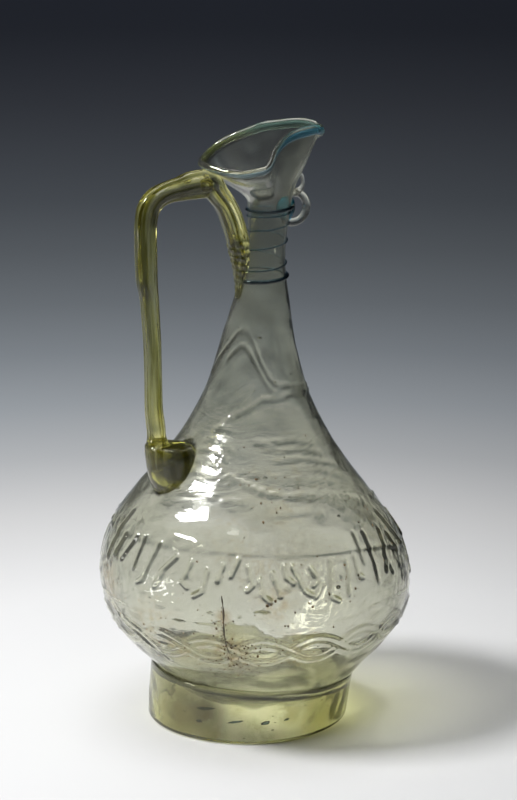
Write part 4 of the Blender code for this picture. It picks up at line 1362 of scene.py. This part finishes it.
def fade(tree, value, low, high, least=0.0, most=1.0, kind="SMOOTHSTEP"):
    """A value brought from low..high to least..most, and held at its ends."""
    inputs = {"Value": value, "From Min": low, "From Max": high, "To Min": least, "To Max": most}
    return add_node(tree, "MapRange", inputs, interpolation_type=kind).outputs[0]


def mottle(tree, place, scale, detail=2.0, roughness=0.5, distortion=0.0):
    """The outputs of a noise over places."""
    return add_node(tree, "TexNoise", {"Vector": place, "Scale": scale, "Detail": detail,
                                       "Roughness": roughness, "Distortion": distortion}).outputs


def colours_along(tree, factor, stops):
    """A colour read at a factor from a ramp of (place, colour) stops."""
    ramp = add_node(tree, "ValToRGB", {"Fac": factor})
    elements = ramp.color_ramp.elements
    while len(elements) < len(stops):
        elements.new(0.5)
    for element, (place, colour) in zip(elements, stops):
        element.position = place
        element.color = (*colour, 1.0)
    return ramp.outputs["Color"]


def colour_mix(tree, factor, first, last):
    """Mixes two colours, given as colours or as sockets, by a factor's socket."""
    ends = [(*colour, 1.0) if isinstance(colour, tuple) else colour for colour in (first, last)]
    inputs = {"Factor": factor, 6: ends[0], 7: ends[1]}
    return add_node(tree, "Mix", inputs, data_type="RGBA").outputs[2]


def new_material(name):
    """A new material, its node tree and its shader."""
    material = bpy.data.materials.new(name)
    material.use_nodes = True
    return material, material.node_tree, material.node_tree.nodes["Principled BSDF"]


def new_group(name, inputs, outputs):
    """A new group with named sockets, what it is given, and the node that its results go to."""
    group = bpy.data.node_groups.new(name, "ShaderNodeTree")
    for way, sockets in (("INPUT", inputs), ("OUTPUT", outputs)):
        for socket, kind in sockets.items():
            group.interface.new_socket(socket, in_out=way, socket_type="NodeSocket" + kind)
    given = group.nodes.new("NodeGroupInput").outputs
    return group, given, group.nodes.new("NodeGroupOutput")


# Glass


# Heights over which the streaks come and go, their share elsewhere, what the noises add, and the
# span that shows as film; then the stain's heights, limits, scale and roughness
STREAK_RISE = (0.096, 0.112)
STREAK_FALL = (0.145, 0.125)
STREAK_REST = 0.15
STREAK_BEND = (0.02, 0.02, 0.02)
SOFT_SHARE = 0.6
FINE_SHARE = 0.16
FILM_SPAN = (0.42, 0.66)
STAIN_HEIGHTS = (0.110, 0.020)
STAIN_FULL = 0.75
STAIN_SCALE = 55.0
STAIN_LIMIT = 0.53
STAIN_ROUGHNESS = 0.12


def streak_group():
    """A height field of blown streaks: noise drawn out round the body, over softer unevenness."""
    group, given, leave = new_group("blown_streaks", {"Scale": "Float", "Draw": "Float"},
                                    {"Height": "Float", "Film": "Float"})
    place = own_place(group)
    soft = mottle(group, place, 30.0)
    bent = vector_sum(group, "MULTIPLY_ADD", soft["Color"], STREAK_BEND, place)[0]
    along = add_node(group, "CombineXYZ", {"X": 1.0, "Y": 1.0, "Z": given["Draw"]}).outputs[0]
    drawn = vector_sum(group, "MULTIPLY", bent, along)[0]
    streaks = mottle(group, drawn, given["Scale"], 3.0)[0]
    height = parts_of(group, place)["Z"]
    band = reckon(group, "MULTIPLY", fade(group, height, *STREAK_RISE, STREAK_REST),
                  fade(group, height, *STREAK_FALL, STREAK_REST))
    shown = reckon(group, "MULTIPLY", streaks, band)
    total = reckon(group, "MULTIPLY_ADD", soft[0], SOFT_SHARE, shown)
    fine = mottle(group, place, 330.0, 4.0, 0.6)[0]
    film = reckon(group, "MULTIPLY", fade(group, streaks, *FILM_SPAN), band)
    fill(group, leave, {"Height": reckon(group, "MULTIPLY_ADD", fine, FINE_SHARE, total),
                        "Film": film})
    return group


def stain_group():
    """A mask of burial stain: blotches, thicker low on the body, and two colours mixed by it."""
    group, given, leave = new_group("burial_stain", {"Scale": "Float", "Threshold": "Float",
                                                     "Clean": "Color", "Stained": "Color"},
                                    {"Color": "Color", "Mask": "Float"})
    place = own_place(group)
    low = fade(group, parts_of(group, place)["Z"], *STAIN_HEIGHTS, kind="LINEAR")
    noise = mottle(group, place, given["Scale"], 8.0, 0.65)[0]
    mask = reckon(group, "MULTIPLY", fade(group, noise, given["Threshold"], STAIN_FULL), low)
    fill(group, leave, {"Color": colour_mix(group, mask, given["Clean"], given["Stained"]),
                        "Mask": mask})
    return group


STREAKS = streak_group()
STAIN = stain_group()
EDGE_SHADE = 0.30
LOW_LIGHT = (0.085, 0.130)
LOW_SHADE = (0.99, 0.99, 0.965)


def glass(name, clean, stained, absorbed, density, streak_scale, draw, bump, shade,
          clear=0.975, roughness=0.02, film=0.0):
    """See-through glass: a stained, streaked surface over a body that takes colour with depth.

    A light's own rays go straight through it, tinted by shade, and less so low down, where real
    glass gathers them, so what it holds and stands on is lit as through real glass.
    """
    material, tree, shader = new_material(name)
    stain = add_node(tree, "Group", {"Scale": STAIN_SCALE, "Threshold": STAIN_LIMIT,
                                     "Clean": (*clean, 1.0), "Stained": (*stained, 1.0)},
                     node_tree=STAIN).outputs
    streaks = add_node(tree, "Group", {"Scale": streak_scale, "Draw": draw},
                       node_tree=STREAKS).outputs
    rough = fade(tree, stain["Mask"], 0.0, 1.0, roughness, roughness + STAIN_ROUGHNESS, "LINEAR")
    relief = add_node(tree, "Bump", {"Distance": bump, "Strength": 1.0,
                                     "Height": streaks["Height"]}).outputs["Normal"]
    fill(tree, shader, {"Metallic": 0.0, "IOR": 1.5, "Transmission Weight": clear,
                        "Base Color": stain["Color"], "Normal": relief,
                        "Roughness": reckon(tree, "MULTIPLY_ADD", streaks["Film"], film, rough)})
    volume = add_node(tree, "VolumeAbsorption", {"Color": (*absorbed, 1.0), "Density": density})

    rise = fade(tree, parts_of(tree, own_place(tree))["Z"], *LOW_LIGHT, kind="LINEAR")
    passed = colour_mix(tree, rise, LOW_SHADE, shade)
    dim = tuple(EDGE_SHADE * part for part in shade)
    facing = add_node(tree, "LayerWeight", {"Blend": 0.5}).outputs["Facing"]
    straight = add_node(tree, "BsdfTransparent", {"Color": colour_mix(tree, facing, passed, dim)})
    shadow = add_node(tree, "LightPath").outputs["Is Shadow Ray"]
    either = add_node(tree, "MixShader", {"Fac": shadow, 1: shader.outputs["BSDF"],
                                          2: straight.outputs["BSDF"]})
    through = add_node(tree, "BsdfTransparent").outputs["BSDF"]
    joined = add_node(tree, "MixShader", {"Fac": own_mark(tree, "fused")["Fac"],
                                          1: either.outputs["Shader"], 2: through})
    fill(tree, tree.nodes["Material Output"], {"Surface": joined.outputs["Shader"],
                                               "Volume": volume.outputs["Volume"]})
    return material


def tint(material, factor, share, colour):
    """Mixes a share of a colour over a glass's colour, where a factor says."""
    tree = material.node_tree
    base = tree.nodes["Principled BSDF"].inputs["Base Color"]
    part = reckon(tree, "MULTIPLY", factor, share, use_clamp=True)
    tree.links.new(colour_mix(tree, part, base.links[0].from_socket, colour), base)


FILM = (0.72, 0.68, 0.54)
FILM_SHARE = 0.42
# Grime beside the moulding and painted shade: dark lines on the relief's steep flanks
GRIME_AND_FLANK_SHADE = (0.50, 0.44, 0.30)
GRIME_AND_FLANK_SHADE_SHARE = 0.48
# Painted shade: the shoulder's colour darkened, fading in and out between these heights
SHOULDER_SHADE_HEIGHTS = (0.070, 0.200)
SHOULDER_PAINTED_SHADE_SHARE = 0.85
SHOULDER_PAINTED_SHADE = (0.86, 0.865, 0.82)
SPOT_SHARE = 0.95
SPOT_EDGE = 0.16

# Spots: degrees, height, reach, the noise's limit, colour
SOILED = ((-131, 0.050, 0.014, 0.42, (0.68, 0.52, 0.32)),
          (-131, 0.064, 0.005, 0.32, (0.62, 0.48, 0.30)),
          (-128, 0.042, 0.014, 0.44, (0.68, 0.52, 0.32)),
          (-160, 0.055, 0.020, 0.47, (0.80, 0.70, 0.52)),
          (-148, 0.046, 0.015, 0.45, (0.76, 0.63, 0.44)),
          (-190, 0.066, 0.016, 0.40, (0.76, 0.64, 0.46)),
          (-105, 0.046, 0.020, 0.46, (0.80, 0.70, 0.52)),
          (-100, 0.112, 0.024, 0.50, (0.80, 0.73, 0.58)),
          (-112, 0.070, 0.012, 0.46, (0.78, 0.66, 0.48)),
          (-55, 0.090, 0.026, 0.50, (0.80, 0.73, 0.58)),
          (60, 0.055, 0.040, 0.50, (0.78, 0.68, 0.50)))
# Partly cloudy weathering in the foot's glass, partly painted shade: the dark patches on its left side
# and along its bottom edge
FOOT_CLOUDS_AND_SHADE = ((-164, 0.010, 0.024, 0.24, (0.26, 0.23, 0.13)),
               (-146, 0.012, 0.014, 0.30, (0.20, 0.17, 0.09)),
               (-72, 0.008, 0.026, 0.20, (0.46, 0.44, 0.18)),
               (-112, 0.006, 0.012, 0.42, (0.50, 0.50, 0.30)),
               (-140, 0.002, 0.010, 0.30, (0.42, 0.39, 0.22)),
               (-98, 0.013, 0.010, 0.38, (0.48, 0.46, 0.24)),
               (60, 0.010, 0.030, 0.46, (0.82, 0.80, 0.64)),
               (160, 0.010, 0.026, 0.46, (0.82, 0.80, 0.64)))
# Painted shade in the pad: its thick glass darkened and yellowed, partly the deeper colour of thick
# glass, partly the dark of light turned back inside it
PAD_DEPTH_AND_SHADE = ((180, PAD_HEIGHT, 0.017, 0.18, (0.52, 0.48, 0.07)),)
SOILED_SCALE = 260.0
CLOUD_SCALE = 95.0
PAD_SCALE = 150.0


def weather(material):
    """Weathering on the vessel: films along its streaks, grime beside its relief with painted shade on
    the relief's steep flanks, soil in places, and painted shade that darkens the shoulder.
    """
    tree = material.node_tree
    streaks = tree.nodes["Bump"].inputs["Height"].links[0].from_node
    tint(material, streaks.outputs["Film"], FILM_SHARE, FILM)
    # Grime and painted shade on the relief's steep flanks
    tint(material, own_mark(tree, "grime_and_flank_shade")["Fac"], GRIME_AND_FLANK_SHADE_SHARE, GRIME_AND_FLANK_SHADE)
    height = parts_of(tree, own_place(tree))["Z"]
    # Painted shade: the shoulder darkened, fading in from below and out above
    for low, high in (SHOULDER_SHADE_HEIGHTS, SHOULDER_SHADE_HEIGHTS[::-1]):
        shoulder_shade = fade(tree, height, low, (low + high) / 2)
        tint(material, shoulder_shade, SHOULDER_PAINTED_SHADE_SHARE, SHOULDER_PAINTED_SHADE)
    spots(material, body_point, SOILED_SCALE, SOILED)


def spots(material, surface, scale, places):
    """Blotches of colour round places of a surface: noise over a limit, fading with distance."""
    tree = material.node_tree
    place = own_place(tree)
    noise = mottle(tree, place, scale, 6.0, 0.7)[0]
    for turn, height, reach, low, colour in places:
        middle = surface(np.array(math.radians(turn)), np.array(height))
        away = vector_sum(tree, "DISTANCE", place, tuple(middle.tolist()))["Value"]
        blotch = fade(tree, noise, low, low + SPOT_EDGE, kind="LINEAR")
        factor = reckon(tree, "MULTIPLY", fade(tree, away, reach, 0.0), blotch)
        tint(material, factor, SPOT_SHARE, colour)


LIP_TURN = (-0.004, 0.012)
LIP_SIDES = (-0.003, 0.003)
LIP_GREY = (0.42, 0.56, 0.62)
LIP_BLUE = (0.24, 0.58, 0.80)
# Painted light: the far side's olive and teal stand in for light passing the long way along the thick
# far rim
LIP_FAR_PAINTED_OLIVE = (0.34, 0.38, 0.14)
LIP_FAR_PAINTED_TEAL = (0.34, 0.56, 0.55)


def lip_colours(material):
    """The lip's thread: grey over the handle and blue toward the spout on the near side; on the far
    side, painted olive and teal stand in for light passing the long way along the thick rim.
    """
    tree = material.node_tree
    place = parts_of(tree, own_place(tree))
    along = fade(tree, place["X"], *LIP_TURN)
    near = colour_mix(tree, along, LIP_GREY, LIP_BLUE)
    far_painted = colour_mix(tree, along, LIP_FAR_PAINTED_OLIVE, LIP_FAR_PAINTED_TEAL)
    colour = colour_mix(tree, fade(tree, place["Y"], *LIP_SIDES), near, far_painted)
    fill(tree, tree.nodes["Principled BSDF"], {"Base Color": colour})


ROD_SHRINK = (1.0, 1.0, 0.06)
ROD_STOPS = (0.42, 0.51, 0.63)


def drawn_streaks(material, *colours):
    """Long streaks along the drawn rod, in colour and as fine flutes, by its straight place."""
    tree = material.node_tree
    place = own_mark(tree, "drawn")["Vector"]
    shrunk = add_node(tree, "Mapping", {"Vector": place, "Scale": ROD_SHRINK}).outputs[0]
    noise = mottle(tree, shrunk, 290.0, 3.0, 0.6, 0.5)[0]
    colour = colours_along(tree, noise, list(zip(ROD_STOPS, colours)))
    fill(tree, tree.nodes["Principled BSDF"], {"Base Color": colour})
    fill(tree, tree.nodes["Bump"], {"Height": noise})


def soil_paint(name, dark, light):
    """Dry burial soil: rough, from a dark to a light colour."""
    material, tree, shader = new_material(name)
    noise = mottle(tree, own_place(tree), 300.0)[0]
    colour = colours_along(tree, noise, ((0.35, dark), (0.65, light)))
    fill(tree, shader, {"Roughness": 0.9, "Base Color": colour})
    return material


def dress(piece, material, slot, *nodes):
    """Gives a piece its glass, its place on the body and the nodes that it stands for."""
    piece.data.materials.clear()
    piece.data.materials.append(material)
    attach(piece, "root")
    if nodes:
        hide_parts(*nodes)


# Studio


FLOOR_SIDES = 96
FLOOR_START = 0.02
FLOOR_REACH = 2.2
FLOOR_BEND = 1.0
FLOOR_WALL = (2.0, 3.5)
FLOOR_GAP = 0.0003
# Painted shade: the floor darkens by up to this share toward the camera's right, standing in for light
# that comes from the left
FLOOR_PAINTED_SHADE_RIGHT = 0.25
FLOOR_PAINTED_SHADE_RIGHT_SPAN = (-0.05, 0.60)
# Painted shade: the floor's colour by distance from the ewer, darkening outward, standing in for the
# falloff of the studio's light
FLOOR_PAINTED_SHADES = ((0.00, (0.71, 0.71, 0.71)), (0.18, (0.68, 0.68, 0.68)), (0.31, (0.53, 0.53, 0.53)),
                (0.41, (0.385, 0.395, 0.405)), (0.52, (0.285, 0.305, 0.325)),
                (0.65, (0.205, 0.225, 0.245)), (0.79, (0.155, 0.172, 0.188)),
                (0.96, (0.120, 0.134, 0.148)), (1.16, (0.095, 0.107, 0.122)),
                (1.65, (0.078, 0.086, 0.104)), (2.40, (0.064, 0.073, 0.098)),
                (3.2, (0.06, 0.07, 0.095)))


def make_floor():
    """A pale floor that sweeps up into a round wall: a turned profile, with painted shade that darkens
    it away from its middle.
    """
    flat = np.linspace(FLOOR_START, FLOOR_REACH, 40)
    bend = np.linspace(0, math.pi / 2, 20)[1:]
    wall = [FLOOR_REACH + FLOOR_BEND for _ in FLOOR_WALL]
    radius = np.concatenate([flat, FLOOR_REACH + FLOOR_BEND * np.sin(bend), wall])
    height = np.concatenate([0 * flat, FLOOR_BEND * (1 - np.cos(bend)), FLOOR_WALL]) - FLOOR_GAP
    grid = round_point(0.0, radius[:, None], turns(FLOOR_SIDES)[None, :], height[:, None])
    faces = [list(range(FLOOR_SIDES))[::-1]]
    for start in range(0, (len(radius) - 1) * FLOOR_SIDES, FLOOR_SIDES):
        faces += ring_faces(start, FLOOR_SIDES, start + FLOOR_SIDES, FLOOR_SIDES)
    floor = mesh_piece("floor", grid.reshape(-1, 3), faces)
    floor.data.flip_normals()
    floor.data.materials.append(floor_paper_painted_shade())


def floor_paper_painted_shade():
    """Matt paper with painted shade: darker with the distance from the ewer and toward the right,
    standing in for the falloff of the studio's light.
    """
    material, tree, shader = new_material("floor_paper_painted_shade")
    place = own_place(tree)
    widest = FLOOR_PAINTED_SHADES[-1][0]
    share = reckon(tree, "DIVIDE", vector_sum(tree, "LENGTH", place)["Value"], widest)
    painted_falloff = colours_along(tree, share, [(out / widest, shade) for out, shade in FLOOR_PAINTED_SHADES])
    right = (math.cos(CAMERA_TURN), math.sin(CAMERA_TURN), 0.0)
    aside = vector_sum(tree, "DOT_PRODUCT", place, right)["Value"]
    fall = fade(tree, aside, *FLOOR_PAINTED_SHADE_RIGHT_SPAN, 0.0, FLOOR_PAINTED_SHADE_RIGHT, "LINEAR")
    fill(tree, shader, {"Roughness": 0.9, "Specular IOR Level": 0.1,
                        "Base Color": colour_mix(tree, fall, painted_falloff, (0.0, 0.0, 0.0))})
    return material


def softbox(name, way, distance, size, power, aim=(0.0, 0.0, 0.12)):
    """An area light that looks at the ewer from a direction."""
    light = bpy.data.lights.new(name, "AREA")
    light.shape = "RECTANGLE"
    light.size, light.size_y = size
    light.energy = power
    lamp = add_object(name, light)
    way = unit(np.array(way)) * distance
    lamp.location = way
    lamp.rotation_euler = lamp.location.to_track_quat("Z", "Y").to_euler()
    lamp.location = np.array(aim) + way


def make_camera():
    """The camera, at the photo's distance and angle."""
    right = np.array([math.cos(CAMERA_TURN), math.sin(CAMERA_TURN), 0.0])
    ahead = np.array([-math.sin(CAMERA_TURN), math.cos(CAMERA_TURN), 0.0])
    place = right * CAMERA_AIM_ASIDE - ahead * CAMERA_DISTANCE * math.cos(CAMERA_PITCH)
    place[2] = CAMERA_AIM_HEIGHT + CAMERA_DISTANCE * math.sin(CAMERA_PITCH)
    data = bpy.data.cameras.new("camera")
    data.lens = CAMERA_LENS
    data.sensor_fit = "VERTICAL"
    data.sensor_height = CAMERA_SENSOR
    data.clip_end = 20.0
    camera = add_object("camera", data)
    camera.location = place
    camera.rotation_euler = (math.pi / 2 - CAMERA_PITCH, 0.0, CAMERA_TURN)
    bpy.context.scene.camera = camera


def make_world():
    """A dim even room."""
    world = bpy.data.worlds.new("room")
    world.use_nodes = True
    background = world.node_tree.nodes["Background"]
    background.inputs["Color"].default_value = (0.60, 0.66, 0.78, 1.0)
    background.inputs["Strength"].default_value = 0.18
    bpy.context.scene.world = world


def build():
    """Makes the ewer's pieces, dresses them and sets the studio."""
    make_camera()
    make_world()
    make_floor()
    softbox("left_box", (-0.635, 0.190, 0.750), 1.4, (0.46, 0.22), 23.5)
    softbox("top_box", (0.0, 0.1, 1.0), 1.7, (1.1, 1.1), 14.0)
    softbox("low_card", (-0.985, 0.174, 0.0), 0.8, (0.16, 0.08), 0.45, (0.0, 0.0, 0.067))
    bpy.context.scene.view_settings.view_transform = "Standard"

    pale = glass("pale_glass", (0.95, 0.945, 0.90), (0.74, 0.64, 0.50), (0.64, 0.645, 0.36), 140.0,
                 55.0, 8.0, 0.00022, (0.26, 0.255, 0.21), 0.968, 0.02, 0.22)
    weather(pale)
    olive = glass("olive_glass", (0.97, 0.95, 0.74), (0.66, 0.60, 0.40), (0.62, 0.60, 0.05), 80.0,
                  60.0, 0.15, 0.00020, (0.60, 0.60, 0.52), 0.95, 0.05)
    drawn_streaks(olive, (0.26, 0.24, 0.03), (0.86, 0.84, 0.40), (0.98, 0.97, 0.80))
    # Painted shade darkening the pad
    spots(olive, body_point, PAD_SCALE, PAD_DEPTH_AND_SHADE)
    foot = glass("foot_glass", (0.97, 0.97, 0.88), (0.74, 0.71, 0.52), (0.52, 0.52, 0.10), 145.0,
                 60.0, 1.0, 0.00030, (0.66, 0.66, 0.60), 0.95)
    # Clouds in the foot's glass, with painted shade on its left side and along its bottom edge
    spots(foot, foot_face, CLOUD_SCALE, FOOT_CLOUDS_AND_SHADE)
    dark = glass("dark_blue_glass", (0.45, 0.68, 0.80), (0.4, 0.5, 0.5), (0.03, 0.20, 0.30), 1800.0,
                 80.0, 1.0, 0.00010, (0.5, 0.6, 0.65))
    blue = glass("lip_blue_glass", (0.45, 0.72, 0.86), (0.5, 0.6, 0.6), (0.50, 0.60, 0.62), 160.0,
                 80.0, 1.0, 0.00010, (0.6, 0.7, 0.75), 0.80)
    lip_colours(blue)
    soil = soil_paint("burial_soil", (0.06, 0.035, 0.015), (0.34, 0.20, 0.09))
    black = soil_paint("crack_soil", (0.02, 0.012, 0.006), (0.12, 0.07, 0.03))
    sea = glass("ring_blue_glass", (0.12, 0.50, 0.66), (0.4, 0.5, 0.5), (0.30, 0.60, 0.70), 500.0,
                80.0, 1.0, 0.00010, (0.5, 0.6, 0.65), 0.85)
    bead = glass("ring_glass", (0.97, 0.97, 0.94), (0.74, 0.64, 0.50), (0.64, 0.645, 0.40), 120.0,
                 55.0, 8.0, 0.00012, (0.52, 0.52, 0.50), 0.90)

    core = make_core()
    vessel = make_vessel()
    handle, handle_sweep = make_handle(core)
    ring, ring_sweep = make_ring(core)
    fuse_vessel(vessel, (handle_sweep, ring_sweep))
    dress(vessel, pale, "pale_glass", "vessel")
    dress(make_foot(), foot, "olive_glass", "foot")
    dress(make_foot_seams(), dark, "olive_glass")
    dress(handle, olive, "olive_glass", "handle")
    dress(make_fold_curl(), olive, "olive_glass")
    dress(make_neck_thread(), dark, "blue_glass", "neck_thread")
    dress(make_dab(), sea, "blue_glass")
    dress(make_lip_thread(), blue, "blue_glass", "lip_thread")
    dress(ring, bead, "pale_glass", "spout_ring")
    dress(make_soil(), soil, "pale_glass")
    dress(make_crack(), black, "pale_glass")
    bpy.data.objects.remove(core)


build()
